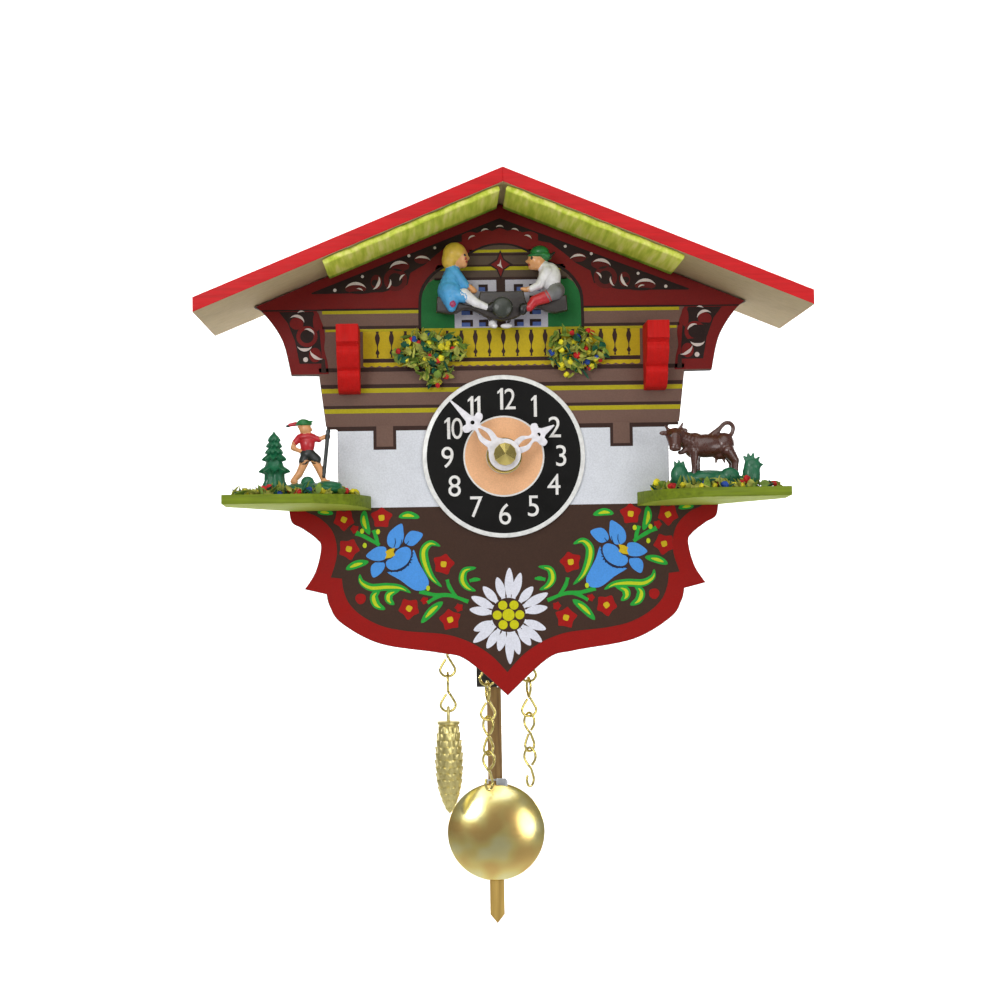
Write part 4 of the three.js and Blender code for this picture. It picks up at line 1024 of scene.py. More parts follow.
def numeral(hour, radius, front):
    """One number of the dial: a drawn 1 with its flag, and the other digits from the built-in font."""
    angle = math.radians(30 * hour)
    x0, z0 = radius * math.sin(angle) + NUDGE.get(hour, 0.0), radius * math.cos(angle)
    digits = str(hour)
    wide = 0.94 if hour < 10 else 0.85
    room = [1.7 if digit == "1" else 3.5 * wide for digit in digits]
    left = x0 - sum(room) / 2
    for i, digit in enumerate(digits):
        middle = left + sum(room[:i]) + room[i] / 2
        name = f"numeral_{hour}_{i + 1}"
        if digit == "1":
            one = [(-0.1, -2.65), (0.65, -2.65), (0.65, 2.65), (0.15, 2.65), (-0.75, 1.75), (-0.75, 1.2),
                   (-0.1, 1.65)]
            ink(name, shifted([one], middle, z0), 1, "dial_figure", base=front)
            continue
        text = bpy.data.curves.new(name, "FONT")
        text.body = digit
        text.size = 7.4
        text.align_x = "CENTER"
        text.extrude = LAYER
        text.resolution_u = 6
        mesh = curve_mesh(text, lambda c: row(middle + c.x * wide, front - c.z, z0 + c.y - 2.6), 35)
        link(name, mesh, INKS["dial_figure"], "case")


def hand(name, node, body, tip, cross, hub, bore, front, turn, eye):
    """Pierced white hand, turned clockwise by so many degrees."""
    loop = (hub + cross - 1.5) / 2
    half = [(0, tip), (0.16, tip), (0.95, cross + 1.4)]
    half += smooth([(1.4, cross + 0.8), (2.6, cross + 0.9), (3.1, cross - 0.2), (2.4, cross - 1),
                    (1.3, cross - 1.3), (1, cross - 2.2), (1.9, loop), (1.7, hub + 0.3)], 6)
    rim = [(x, z) for x, z in ellipse(0, 0, hub, sides=64) if x > 0.01 and z < hub * 0.8]
    half += sorted(rim, key=lambda p: -p[1]) + [(0, -hub)]
    middle = (hub + cross - 1.6) / 2 + 0.2
    reach = (cross - 2.6 - hub) / 2
    hole = smooth([(0, middle + reach), (0.7, middle), (0, middle - reach), (-0.7, middle)], 5, closed=True)
    flat = [mirrored(half), ellipse(0, 0, bore, sides=40), hole, ellipse(0, cross, eye, sides=20)]
    c, s = math.cos(math.radians(turn)), math.sin(math.radians(turn))
    outlines = [[(x * c + z * s, z * c - x * s) for x, z in outline] for outline in flat]
    blade = board(name, outlines, front, front + 0.5, HAND_WHITE, body, bevel=0.12)
    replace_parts(blade, node)


def hands():
    hand("hour_blade", "hour_hand", "hour_work", 14.1, 9.7, 3.2, 2.55, -6.1, 59.9, 0.45)
    hand("minute_blade", "minute_hand", "minute_work", 18.9, 11.0, 3.9, 1.2, -7.9, -44.3, 0.5)
    cone = [(0, -11.6), (2.7, -9.9), (2.8, -9.5), (2.6, -8), (1.2, -8), (1.2, -9.8), (0, -9.8)]
    nut = turned("hand_nut_cone", cone, (0, 0, 0), POLISHED_BRASS, "minute_work", sides=12, soft_angle=9)
    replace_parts(nut, "hand_nut")
    collar = [(3.5, -4.6), (4.1, -4.6), (4.3, -4.4), (4.3, -1.1), (3.5, -1.1), (3.5, -4.6)]
    ring = turned("fixing_ring", collar, (0, 0, 0), POLISHED_BRASS, sides=64)
    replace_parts(ring, "fixing_nut")


# ------------------------------------------------------------------ see-saw and riders

SEESAW_Z = 35.8
RIDER_Y = -4.7


def seesaw():
    half = [(0, 4.1), (5.3, 4.1), (5.8, 1.6)] + smooth([(6.5, 0.6), (9.5, 1.2), (11.4, 2.8), (15.8, 3)])
    half += [(16, -0.7), (12.8, -1.3)] + smooth([(11, -0.9), (9, -0.1), (6.4, -0.6), (3.2, -2.3), (0, -3)])
    beam = board("rocker_board", shifted([mirrored(half)], 0, SEESAW_Z), -6.3, -3.1, DARK_PLASTIC, "seesaw",
                 bevel=0.35)
    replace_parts(beam, "seesaw_beam")
    cap = [(0, -8.25), (1.7, -8.2), (2.3, -7.9), (2.55, -7.3), (2.55, -6.4), (0, -6.4)]
    turned("hub_cap", cap, (0, 0, SEESAW_Z), HUB_GREEN, "seesaw")
    feet = {
        "white": [blob((-3.4, -0.5, -3.4), (1, 0.8, 0.9)), blob((-3, -0.9, -3.9), (0.9, 0.8, 0.6)),
                  blob((0, -0.5, -3.9), (1.5, 0.8, 0.6))],
        "beam": [limb((-4.6, -0.3, -1.5), (-3.4, -0.4, -2.9), 0.35, 0.35),
                 limb((0.8, -0.3, -2.4), (0.3, -0.4, -3.5), 0.4, 0.35)],
    }
    figure("dangling_feet", feet, (1.0, RIDER_Y, SEESAW_Z - 0.4), "seesaw")


def riders():
    girl = {
        "dress_blue": [limb((-12.9, 0, 9.9), (-13.6, -0.2, 5.2), 1.9, 3.2),
                       limb((-13.5, -1, 4.8), (-13.3, -2.3, 0.9), 3, 1.2),
                       limb((-13, -1.6, 4.2), (-10.4, -2.5, 3.4), 2, 1.5),
                       limb((-12.4, -0.6, 9.6), (-9.9, -0.8, 6.4), 1.5, 1.2)],
        "skin": [limb((-10, -0.8, 6.6), (-8, -0.6, 5.5), 0.85, 0.7), blob((-7.8, -0.4, 5.1), (0.9, 0.8, 0.7)),
                 limb((-12.2, 0, 11), (-11.8, 0, 12.2), 1, 1), blob((-10.9, 0, 13.4), (1.9, 1.9, 2.7)),
                 blob((-10.2, 0, 11.7), (1, 1.2, 0.9)), blob((-9.1, 0, 13.2), (0.5, 0.45, 0.45))],
        "white": [limb((-10.2, -2.5, 4.1), (-7.4, -2.5, 1.9), 1.45, 1.15),
                  limb((-7.4, -2.5, 1.9), (-5, -2.5, 0.9), 1.1, 0.85)],
        "black": [blob((-3.8, -2.5, 0.7), (1.2, 0.9, 1)), blob((-3.4, -2.5, 1.3), (0.7, 0.8, 0.8))],
        "hair": [blob((-12.3, 0, 14.4), (2.9, 2.4, 2.7)), blob((-13.6, 0, 12.8), (1.9, 2.2, 2.5))],
        "lip_red": [blob((-9.55, -0.6, 12.2), (0.4, 0.6, 0.3)), blob((-9.7, -1.35, 12.9), 0.35)],
        "dark": [blob((-9.9, -1.5, 13.7), 0.32)],
        "magenta": [blob((-12.9, -3.55, 1.5), (0.75, 0.3, 0.75))],
    }
    boy = {
        "white": [blob((10.8, 0, 8.3), (2.8, 2, 3.6)), blob((9.8, 0, 10.6), (1.9, 1.7, 1.5)),
                  limb((10.2, -1, 9.6), (8.2, -1.2, 6.2), 1.5, 1.15),
                  limb((8.2, -1.2, 6.2), (6.2, -0.9, 5.3), 1.1, 0.9)],
        "skin": [limb((5.9, -0.8, 5.3), (4.7, -0.5, 5.2), 0.75, 0.65),
                 blob((4.2, -0.4, 5.4), (0.7, 0.7, 0.5)), limb((9.2, 0, 10.9), (8.4, 0, 12), 1.1, 1.1),
                 blob((7.6, 0, 12.3), (2.1, 1.9, 2.3)), blob((5.5, 0, 12.2), (0.55, 0.5, 0.45)),
                 blob((6.6, 0, 10.9), (1, 1.1, 0.8))],
        "grey": [blob((12.2, 0, 4.9), (2.3, 2.2, 2.3)),
                 limb((12.1, -1.6, 4.4), (10.6, -2.5, 3.6), 2, 1.65)],
        "red": [limb((9.7, -2.5, 3.1), (6.9, -2.5, 2.2), 1.6, 1.35),
                limb((6.9, -2.5, 2.2), (5.6, -2.5, 0.6), 1.3, 1.05)],
        "black": [blob((4, -2.6, 0.2), (1.1, 0.9, 1.5)), blob((4.6, -2.5, 0.8), (1, 0.9, 0.9)),
                  limb((10.9, -1.2, 13.2), (12, -1, 14.2), 0.5, 0.3)],
        "lip_red": [blob((5.9, -0.5, 11.3), (0.35, 0.6, 0.28))],
        "dark": [blob((6.4, -1.55, 12.8), 0.3)],
        "hat_green": [blob((8.5, 0, 14.4), (2.3, 2.2, 1.7)), blob((8.4, 0, 13.6), (3, 2.6, 0.6)),
                      blob((9.9, 0, 13.4), (1.6, 2.2, 1))],
    }
    for name, parts in (("left", girl), ("right", boy)):
        person = figure("child_" + name, parts, (1.0, RIDER_Y, SEESAW_Z - 0.7), "seesaw")
        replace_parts(person, "rider_" + name)


# ------------------------------------------------------------------ figures on the shelves

FIGURE_Y = -12.0
GROUND = SHELF_TOP + 0.05


def hiker():
    parts = {
        "fir_green": [blob((-47.6, 0, -8.3), (8.2, 3.8, 1.6)), blob((-48.2, 0, -6.8), (1.7, 1.3, 1.7)),
                      blob((-43.4, 0, -7.4), (3.4, 2.4, 1.1))],
        "skin": [limb((-51.6, 0, -6.2), (-50.2, 0, -4.6), 0.7, 0.95),
                 limb((-50.2, 0, -4.6), (-48.8, 0, -1.6), 0.9, 1.1),
                 blob((-51.4, -0.4, -6.4), (1, 0.6, 0.45)),
                 limb((-44.4, 0, -6), (-45.1, 0, -4), 0.7, 0.95),
                 limb((-45.1, 0, -4), (-46.4, 0, -1.4), 0.9, 1.05),
                 blob((-43.8, -0.3, -6.4), (1.15, 0.65, 0.45)),
                 limb((-51.2, 0, 2.9), (-51.6, 0, 1.7), 0.65, 0.6),
                 limb((-51.5, 0, 1.6), (-49.4, 0, 0.7), 0.6, 0.5),
                 limb((-45.3, 0, 3.7), (-43.5, 0, 4.4), 0.6, 0.55), blob((-43.3, 0, 4.3), (0.75, 0.7, 0.8)),
                 blob((-48.6, 0, 6.2), (1.45, 1.3, 1.6)), blob((-47.2, 0, 6), (0.4, 0.35, 0.4)),
                 blob((-47.9, 0, 5.1), (0.8, 0.8, 0.6)), blob((-49.6, 0, 6.7), (0.8, 1, 0.7)),
                 limb((-48.5, 0, 4.6), (-48.5, 0, 5.6), 0.8, 0.8)],
        "dark": [blob((-48, 0, 0.1), (1.9, 1.4, 1.4)),
                 limb((-48.4, 0, 0), (-49.1, 0, -1.5), 1.3, 1.25),
                 limb((-47.4, 0, 0), (-46.1, 0, -1.2), 1.3, 1.3), blob((-52.7, 0, 6.9), (0.6, 0.3, 0.35)),
                 limb((-43.1, -0.5, 5.6), (-44.3, -0.5, -5.2), 0.55, 0.5),
                 blob((-43.1, -0.4, 5.5), (0.6, 0.6, 0.6))],
        "red": [blob((-48.1, 0, 2.6), (1.8, 1.35, 2.4)), blob((-48.3, 0, 4.3), (2.5, 1.3, 1)),
                limb((-50, 0, 4.2), (-51, 0, 3), 0.85, 0.8),
                limb((-46.8, 0, 4.1), (-45.4, 0, 3.6), 0.85, 0.75),
                limb((-50.9, 0, 7.4), (-52.2, 0, 7.2), 0.55, 0.45)],
        "hat_green": [blob((-49, 0, 7.7), (1.5, 1.4, 0.9)), blob((-48.9, 0, 7.3), (2.1, 1.7, 0.4)),
                      limb((-48.2, 0, 7.6), (-46.9, 0, 8), 0.5, 0.25)],
    }
    person = figure("walker", parts, (0.85, FIGURE_Y, 0.4), "case", voxel=0.16)
    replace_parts(person, "hiker")


def fir_tree():
    """Moulded fir on a small mound. Its tiers, (height of the rim, radius), droop in scallops."""
    x, y, scallops, depth = -55.2, FIGURE_Y, 9, 0.85
    tiers = (-3.2, 3.5), (-0.3, 2.75), (1.3, 2.05), (2.8, 1.8), (4.2, 1.45)
    profile = [(0.0, GROUND), (3.6, GROUND), (3.1, -7.2), (2.3, -5.4)]
    for rim_z, radius in tiers:
        profile += [(radius * 0.64, rim_z - 0.6), (radius * 0.97, rim_z - 0.2), (radius, rim_z + 0.05),
                    (radius * 0.66, rim_z + 0.75)]
    profile += [(0.55, 5.3), (0.15, 6.0), (0.0, 6.1)]
    rings = []
    for k, (radius, z) in enumerate(profile):
        ring = []
        for angle in circle(64):
            wave = math.cos(scallops * angle + 0.9 * (k // 4))
            reach = radius * (1 + 0.10 * wave)
            droop = 0.35 * wave * min(1.0, radius / 2)
            ring.append((x + reach * math.cos(angle), y + reach * math.sin(angle) * depth,
                         max(GROUND, z - droop)))
        rings.append(ring)
    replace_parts(ringed("fir", rings, PAINTS["fir_green"], "case", 60), "fir_tree")


def cow():
    parts = {
        "cow_brown": [blob((48, 0, 1.9), (5.4, 2.5, 2.9)), blob((52.3, 0, 2.1), (2.6, 2.3, 3)),
                      blob((45.2, 0, 2), (2.8, 2.3, 3.2)), limb((44.2, 0, 2.8), (41.8, -0.8, 3.9), 2.4, 1.8),
                      blob((40.4, -1.6, 4.3), (2.3, 1.7, 2)),
                      limb((40.2, -1.9, 3.9), (40.1, -2.9, 2), 2, 1.5),
                      blob((40.1, -3.4, 1.3), (1.5, 0.9, 0.9)), blob((37.7, -1.5, 5), (1.15, 0.45, 0.6)),
                      blob((42.6, -1.3, 5.6), (0.9, 0.45, 0.6)),
                      limb((38.9, -1.3, 5.7), (37.9, -1.7, 6.8), 0.5, 0.22),
                      limb((41.5, -1.1, 5.8), (42.3, -1.5, 7.4), 0.55, 0.24),
                      limb((43.4, -0.8, 1.2), (42, -1.2, 0.4), 0.9, 0.6),
                      blob((41.6, -1.2, 0.3), (0.7, 0.6, 0.55)),
                      limb((45, -1.2, 0.6), (44.9, -1.2, -3.2), 1.2, 0.75),
                      limb((44.9, -1.2, -3.2), (44.5, -1.2, -6.9), 0.7, 0.65),
                      limb((45.8, 1.2, 0.6), (46, 1.2, -6.9), 1, 0.65),
                      limb((53, -1.2, 0.6), (54.7, -1.2, -1.8), 1.7, 1.1),
                      limb((54.7, -1.2, -1.8), (54.5, -1.2, -6.9), 1, 0.8),
                      limb((53, 1.2, 0.6), (54.3, 1.2, -2.2), 1.3, 0.9),
                      limb((54.3, 1.2, -2.2), (54.1, 1.2, -6.9), 0.8, 0.7),
                      blob((51.2, 0, -0.4), (1.8, 1.3, 1.1)),
                      limb((50.4, -0.4, -0.9), (50.2, -0.4, -2.1), 0.45, 0.3),
                      limb((52, -0.4, -0.9), (52.3, -0.4, -2.1), 0.45, 0.3),
                      limb((49.4, 0, 4.2), (51.2, 0, 5.9), 1, 0.65)],
        "eye": [blob((39, -3.3, 4.3), 0.28), blob((41.3, -3.3, 4.3), 0.28)],
    }
    tail = smooth([(51.2, 5.9), (52.5, 7.2), (53.8, 7.3), (54.6, 6.3), (54.3, 4.9), (53.6, 4.0)], 3)
    parts["cow_brown"] += [limb((a[0], 0, a[1]), (b[0], 0, b[1]), 0.55, 0.55) for a, b in zip(tail, tail[1:])]
    animal = figure("brown_cow", parts, (0.3, FIGURE_Y, -0.8), "case", voxel=0.18)
    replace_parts(animal, "cow")


def cow_meadow():
    """Green ground under the cow, with three blades at its head and a bush behind it."""
    bush_x, foot = 58.9, -4.6
    ground = [blob((48.4, 0, -7.4), (9.2, 3.0, 2.7)), blob((41.6, -1, -5.9), (2.2, 1.4, 2.6)),
              blob((53.6, -1.5, -6.2), (2.4, 1.5, 2.0)), blob((47.5, -2, -6.8), (3.2, 1.2, 1.6)),
              blob((bush_x, -1, -6.0), (2.2, 1.4, 3.4)), blob((bush_x + 0.3, -1, -3.9), (2.1, 1.2, 1.9))]
    for k, tip in enumerate((-2.7, -2.4, -2.7)):
        ground.append(limb((40.9 + 0.9 * k, -1, foot), (40.5 + k, -1, tip), 0.6, 0.3))
    for lean in (-0.65, -0.25, 0.2, 0.75, 1.3):
        tip = (bush_x + 2.7 * math.sin(lean), -1, foot + 3.6 * math.cos(lean))
        ground.append(limb((bush_x, -1, foot + 0.2), tip, 0.9, 0.35))
    figure("cow_meadow", {"fir_green": ground}, (0, FIGURE_Y, 0), "case", rounds=1)


# ------------------------------------------------------------------ dried flowers

CHIPS = [CHIP_STRAW, CHIP_OLIVE, CHIP_DARK, CHIP_RED, CHIP_YELLOW, CHIP_BLUE]
LEAF_HALF = [(0.0, -1.0), (0.5, -0.55), (0.62, 0.0), (0.45, 0.5), (0.0, 1.0)]


def add_leaf(bm, spot, aim, length, width, thickness, slot):
    """Small bent blade with pointed ends. Aim is a rotation."""
    outline = LEAF_HALF + [(-u, v) for u, v in reversed(LEAF_HALF[1:-1])]
    bend = random.uniform(-0.3, 0.3) * length
    layers = []
    for side in (-0.5, 0.5):
        layer = []
        for u, v in outline:
            local = Vector((u * width, side * thickness + bend * (v * v - 0.4) * 0.5, v * length / 2))
            layer.append(bm.verts.new(row(*(spot + aim @ local))))
        layers.append(layer)
    count = len(outline)
    back, front = layers
    faces = [bm.faces.new(back), bm.faces.new(front[::-1])]
    for i in range(count):
        faces.append(bm.faces.new([back[i], back[(i + 1) % count], front[(i + 1) % count], front[i]]))
    for face in faces:
        face.material_index = slot


def add_bead(bm, spot, radius, slot):
    """Crumpled blossom head."""
    centre = row(*spot)
    place = Matrix.Translation(centre) @ Matrix.Scale(MM, 4)
    made = bmesh.ops.create_icosphere(bm, subdivisions=2, radius=radius, matrix=place)
    for vert in made["verts"]:
        vert.co = centre + (vert.co - centre) * random.uniform(0.8, 1.15)
        for face in vert.link_faces:
            face.material_index = slot


def chips(name, spots, leaf_share, lean):
    """Heap of dried leaves and blossoms, one at each spot. The slots are places in CHIPS."""
    bm = bmesh.new()
    for spot in spots:
        if random.random() < leaf_share:
            slot = random.choices((0, 1, 2), (5, 4, 2))[0]
            turn = Matrix.Rotation(random.uniform(-lean, lean), 3, "Y")
            turn = turn @ Matrix.Rotation(random.uniform(-0.9, 0.9), 3, "X")
            turn = turn @ Matrix.Rotation(random.uniform(0, math.pi), 3, "Z")
            slender = random.random() < 0.6
            long = random.uniform(2.4, 4.2) if slender else random.uniform(2.0, 2.9)
            wide = random.uniform(0.45, 0.85) if slender else random.uniform(1.1, 1.7)
            add_leaf(bm, spot, turn, long, wide, 0.16, slot)
        else:
            slot = random.choices((3, 4, 5), (4, 5, 1.6))[0]
            add_bead(bm, spot, random.uniform(0.6, 0.95), slot)
    mesh = bpy.data.meshes.new(name)
    bmesh.ops.recalc_face_normals(bm, faces=bm.faces)
    bm.to_mesh(mesh)
    bm.free()
    return link(name, mesh, CHIPS, "case")


def tuft_spots(count, lumps):
    """Random spots in front of the facade inside ellipsoid lumps, given as (centre, radii, share)."""
    spots = []
    while len(spots) < count:
        centre, radii, _ = random.choices(lumps, [share for *_, share in lumps])[0]
        away = Vector([random.uniform(-1, 1) for _ in range(3)])
        if away.length <= 1:
            spot = Vector(centre) + Vector(a * r for a, r in zip(away, radii))
            if spot.y < -1.2:
                spots.append(spot)
    return spots


def flower_boxes():
    random.seed(11)
    left = [((-17.5, -2.6, 26.2), (9.2, 2.0, 4.8), 5), ((-17.0, -2.2, 21.0), (5.0, 1.4, 4.4), 1.4)]
    right = [((18.4, -2.6, 25.9), (7.4, 2.0, 5.4), 4), ((17.6, -2.2, 22.6), (6.0, 1.4, 3.2), 1)]
    for name, lumps, count in (("left", left, 250), ("right", right, 180)):
        tuft = chips("blossom_box_" + name, tuft_spots(count, lumps), 0.82, 1.6)
        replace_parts(tuft, "flowers_" + name)


def shelf_flowers():
    random.seed(5)
    for name, side in SIDES:
        spots = []
        while len(spots) < 210:
            x, y = random.uniform(35, 64.5), random.uniform(-22.5, -5)
            if y < -5 - (x - 34) * 0.1 and y > -6 - (x - 33) * 1.35 and y < -2 - (x - 52) * 1.0:
                rise = 0.35 + random.random() ** 2 * (1.6 if x < 58 else 0.7)
                spots.append(Vector((side * x, y, SHELF_TOP + rise)))
        chips("meadow_" + name, spots, 0.8, 1.5)


# ------------------------------------------------------------------ pendulum

PENDULUM_X = -3.0
PENDULUM_Y = 15.0
BOB_Z = -93.6
BOB_RADIUS = 12.2


def pendulum():
    rod = [(0.8, -52.4), (0.8, -57.4), (1.8, -57.4), (1.8, -114.3), (0, -116.5), (-1.8, -114.3),
           (-1.8, -57.4), (-0.8, -57.4), (-0.8, -52.4)]
    stick = board("stick", shifted([rod], PENDULUM_X), PENDULUM_Y - 0.4, PENDULUM_Y + 0.4,
                  [ROD_WOOD, ROD_EDGE], "pendulum", bevel=0.1)
    repaint(stick, lambda normal, centre: 1 if abs(normal.x) > 0.6 else 0)
    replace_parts(stick, "pendulum_rod")

    rim = PENDULUM_Y - 0.5
    crown = rim - 3.0
    outer = smooth([(0, crown), (3, crown + 0.1), (6, crown + 0.45), (9, crown + 1.15), (11, crown + 1.95),
                    (BOB_RADIUS - 0.25, rim - 0.45)], 5)
    lip = [(BOB_RADIUS, rim - 0.2), (BOB_RADIUS, rim), (BOB_RADIUS - 0.5, rim)]
    inner = [(radius - 0.35, along + 0.5) for radius, along in outer[:0:-1] if radius > 0.6]
    profile = outer + lip + inner + [(0, crown + 0.5)]
    disc = turned("polished_disc", profile, (PENDULUM_X, 0, BOB_Z), BOB_BRASS, "pendulum", sides=128,
                  soft_angle=50)
    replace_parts(disc, "pendulum_bob")

    clip = [(0.2, -83.6), (3.0, -83.6), (3.1, -81.0), (2.6, -80.3), (0.2, -80.2)]
    tab = board("bob_clip", shifted([clip], PENDULUM_X), 13.9, 14.4, STEEL, "pendulum", bevel=0.15)
    rim_lines = [rectangle(-2.3, 2.3, -98, -80.5), rectangle(-1.9, 1.9, -97.6, -80.9)]
    sleeve = board("bob_clip_sleeve", shifted(rim_lines, PENDULUM_X), 14.5, 15.6, STEEL, "pendulum",
                   bevel=0.1)


# ------------------------------------------------------------------ chains and weight

CHAIN_Y = 5.5
WIRE_RADIUS = 0.33
LINK_HALF = 4.75
LINK_PITCH = 8.6
FLOOR_UNDERSIDE = -39.5
CHAINS = [  # (name, X, centre of the top link, turns of the links in degrees, whether it ends in a hook)
    ("left", -14.6, -49.2, (0, 0), False),
    ("centre", -4.8, -51.5, (0, 15, 50, 60), True),
    ("right", 5.4, -50.8, (0, 15, 50, 60), True),
]


def link_path(hook):
    """Figure-of-eight wire: the lower loop faces the front, the upper one stands at right angles to it."""
    mouth = [(-1.45, 0, -2.0)] if hook else [(-0.4, 0, -0.5), (-1.2, 0, -1.7)]
    lower = [(-1.85, 0, -3.1), (-1.3, 0, -4.3), (0, 0, -LINK_HALF), (1.3, 0, -4.3), (1.85, 0, -3.1),
             (1.2, 0, -1.7), (0.4, 0, -0.4)]
    upper = [(0, 0.45, 0.35), (0, 1.45, 1.9), (0, 1.35, 3.6), (0, 0, LINK_HALF), (0, -1.35, 3.6),
             (0, -1.45, 1.9), (0, -0.5, 0.45)]
    return mouth + lower + upper


def chains():
    for name, x, top, turns, ends_open in CHAINS:
        for i, turn in enumerate(turns):
            number = i + 1
            body = f"chain_{name}_{number}"
            hook = ends_open and number == len(turns)
            loop = wire(f"wire_{name}_{number}", link_path(hook), WIRE_RADIUS, CHAIN_BRASS, body,
                        (x, CHAIN_Y, top - i * LINK_PITCH), turn)
            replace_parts(loop, f"chain_{name}_link_{number}")
        screw_eye(name, x, top + LINK_PITCH - LINK_HALF)


def screw_eye(name, x, ring_bottom):
    ring, gap, steps = 1.5, 0.25, 16
    centre = ring_bottom + ring
    path = [(0.35, 0, FLOOR_UNDERSIDE + 2.0), (0.3, 0, centre + ring + 0.6)]
    for i in range(steps, -1, -1):
        angle = math.pi / 2 + gap + i * 2 * (math.pi - gap) / steps
        path.append((ring * math.cos(angle), 0, centre + ring * math.sin(angle)))
    eye = wire(f"eye_{name}", path, WIRE_RADIUS + 0.02, CHAIN_BRASS, "case", (x, CHAIN_Y, 0), steps=5)
    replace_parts(eye, f"screw_eye_{name}")


def cone_weight():
    """Cast weight like a fir cone: rows of rounded scales that overlap upward, a collar and a wire eye."""
    x, top, length, collar, rows, around = CHAINS[0][1], -65.0, 22.7, 1.4, 13, 9
    silhouette = smooth([(0.05, -length), (1.5, -20.6), (2.75, -17), (3.35, -12.5), (3.4, -8.5), (3.0, -4),
                         (2.5, -collar)], 18)
    rings = []
    for radius, along in silhouette:
        level = (along + length) / (length - collar) * rows
        number, share = int(level), level % 1
        ring = []
        for angle in circle(12 * around):
            across = math.cos(around * angle + math.pi * (number % 2))
            edge = share ** 0.6 * (0.65 + 0.35 * across)
            reach = radius * (0.90 + 0.16 * edge)
            ring.append((x + reach * math.cos(angle), CHAIN_Y + reach * math.sin(angle),
                         top + along + 0.35 * across * share))
        rings.append(ring)
    cone = ringed("cone_body", rings, CAST_BRASS, "cone_weight", 40, capped=True)
    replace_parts(cone, "cone_weight")
    profile = [(0, -1.9), (2.3, -1.9), (2.45, -0.9), (2.75, -0.7), (2.8, -0.1), (2.6, 0), (0, 0.1)]
    turned("cone_collar", profile, (x, CHAIN_Y, top), CAST_BRASS, "cone_weight", sides=64, axis="z")
    eye_top = CHAINS[0][2] - 2 * LINK_PITCH + LINK_HALF
    bow = [(0, -0.75, top - 0.5), (0, -0.9, eye_top - 1.3), (0, 0, eye_top), (0, 0.9, eye_top - 1.3),
           (0, 0.75, top - 0.5)]
    wire("cone_eye", bow, 0.4, CAST_BRASS, "cone_weight", (x, CHAIN_Y, 0))


# ------------------------------------------------------------------ what stays as the CAD drew it

def repaint_nodes():
    looks = {
        PLYWOOD: ["floor_board"],
        PLYWOOD_UPRIGHT: ["side_wall_left", "side_wall_right", "back_panel"],
        STEEL: ["hanger_plate", "rotor", "stator", "contact_plus", "contact_minus"],
        DARK_PLASTIC: ["seesaw_axle"],
        BLACK_PLASTIC: ["pendulum_hanger", "set_knob"],
        MOVEMENT_PLASTIC: ["movement_case", "movement_cover"],
        ACETAL: ["centre_wheel", "first_wheel", "minute_arbor", "motion_wheel", "hour_wheel"],
        COPPER: ["drive_coil"],
        CIRCUIT_GREEN: ["circuit_board"],
        CELL_SLEEVE: ["battery"],
    }
    for material, nodes in looks.items():
        for node in nodes:
            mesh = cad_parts[node].data
            mesh.materials.clear()
            mesh.materials.append(material)


# ------------------------------------------------------------------ stage, light and camera

def backdrop():
    """Pale floor that curves up into a pale wall well behind the clock. Sizes are in metres."""
    look = Look("stage_paper", 0.9)
    look.colour(look.ramp(look.noise(60.0), (0.3, linear(0xFAFAFA)), (0.7, linear(0xFFFFFF))))
    floor_z, wall_y, radius, half, steps = -0.75, 1.6, 0.4, 3.0, 16
    profile = [(-2.5, floor_z), (wall_y - radius, floor_z)]
    for i in range(1, steps + 1):
        angle = math.pi / 2 * i / steps
        profile.append((wall_y - radius * (1 - math.sin(angle)), floor_z + radius * (1 - math.cos(angle))))
    profile.append((wall_y, 2.5))
    points = [(x, y, z) for y, z in profile for x in (-half, half)]
    faces = [(2 * i, 2 * i + 1, 2 * i + 3, 2 * i + 2) for i in range(len(profile) - 1)]
    mesh = bpy.data.meshes.new("backdrop")
    mesh.from_pydata(points, [], faces)
    mesh.materials.append(look.material)
    sweep = bpy.data.objects.new("backdrop", mesh)
    bpy.context.scene.collection.objects.link(sweep)


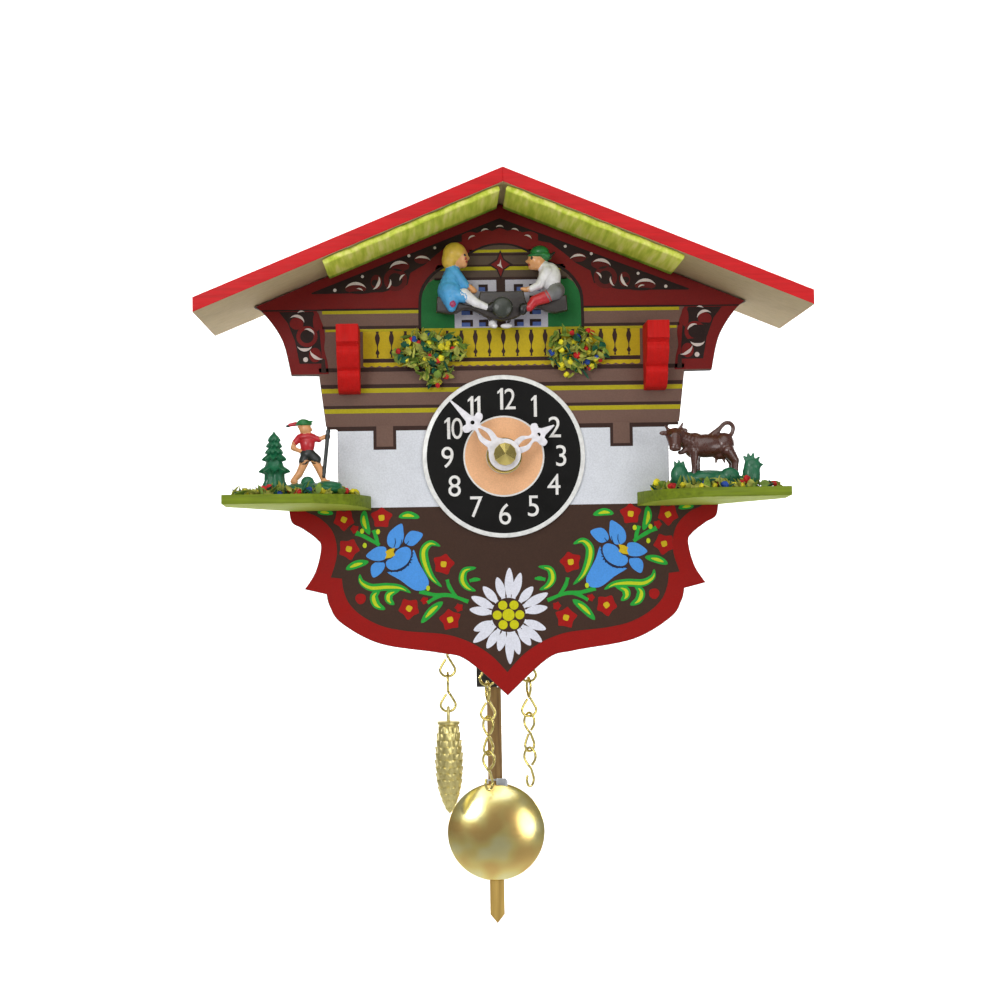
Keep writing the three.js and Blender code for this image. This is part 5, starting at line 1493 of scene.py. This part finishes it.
def lamp(name, place, target, size, power):
    light = bpy.data.lights.new(name, "AREA")
    light.shape = "DISK"
    light.size = size
    light.energy = power
    obj = bpy.data.objects.new(name, light)
    obj.location = place
    obj.rotation_euler = (Vector(target) - Vector(place)).to_track_quat("-Z", "Y").to_euler()
    bpy.context.scene.collection.objects.link(obj)


def lights():
    world = bpy.data.worlds.new("studio")
    world.use_nodes = True
    world.node_tree.nodes["Background"].inputs["Color"].default_value = (1, 1, 1, 1)
    world.node_tree.nodes["Background"].inputs["Strength"].default_value = 0.27
    bpy.context.scene.world = world
    lamp("key_light", (-0.33, -0.8, 0.12), (0, 0, -0.05), 0.3, 2.0)
    lamp("fill_light", (0.5, -0.8, -0.12), (0, 0, -0.05), 0.4, 1.5)
    lamp("top_light", (0.0, -0.7, 0.62), (0, 0, -0.03), 0.95, 3.4)
    lamp("wall_light_left", (-0.95, 0.85, 0.15), (0.05, 1.6, 0.0), 0.5, 15.0)
    lamp("wall_light_right", (0.95, 0.85, 0.15), (-0.05, 1.6, 0.0), 0.5, 15.0)
    bpy.context.scene.view_settings.view_transform = "Standard"


def camera():
    """A camera a little left of and below the middle of the clock, turned up towards it."""
    lens = bpy.data.cameras.new("camera")
    lens.sensor_width = 36.0
    lens.lens = 69.0
    lens.clip_start = 0.01
    obj = bpy.data.objects.new("camera", lens)
    bpy.context.scene.collection.objects.link(obj)
    obj.location = row(-17.0, -470.0, -27.4)
    aim = row(-1.1, 0, -10.7) - obj.location
    turn = aim.to_track_quat("-Z", "Y").to_matrix() @ Matrix.Rotation(math.radians(-0.99), 3, "Z")
    obj.rotation_euler = turn.to_euler()
    bpy.context.scene.camera = obj


def main():
    facade()
    roof_boards()
    eave_trims()
    corbels()
    shelves()
    facade_print()
    dial()
    hands()
    seesaw()
    riders()
    hiker()
    fir_tree()
    cow()
    cow_meadow()
    flower_boxes()
    shelf_flowers()
    pendulum()
    chains()
    cone_weight()
    repaint_nodes()
    backdrop()
    lights()
    camera()


main()
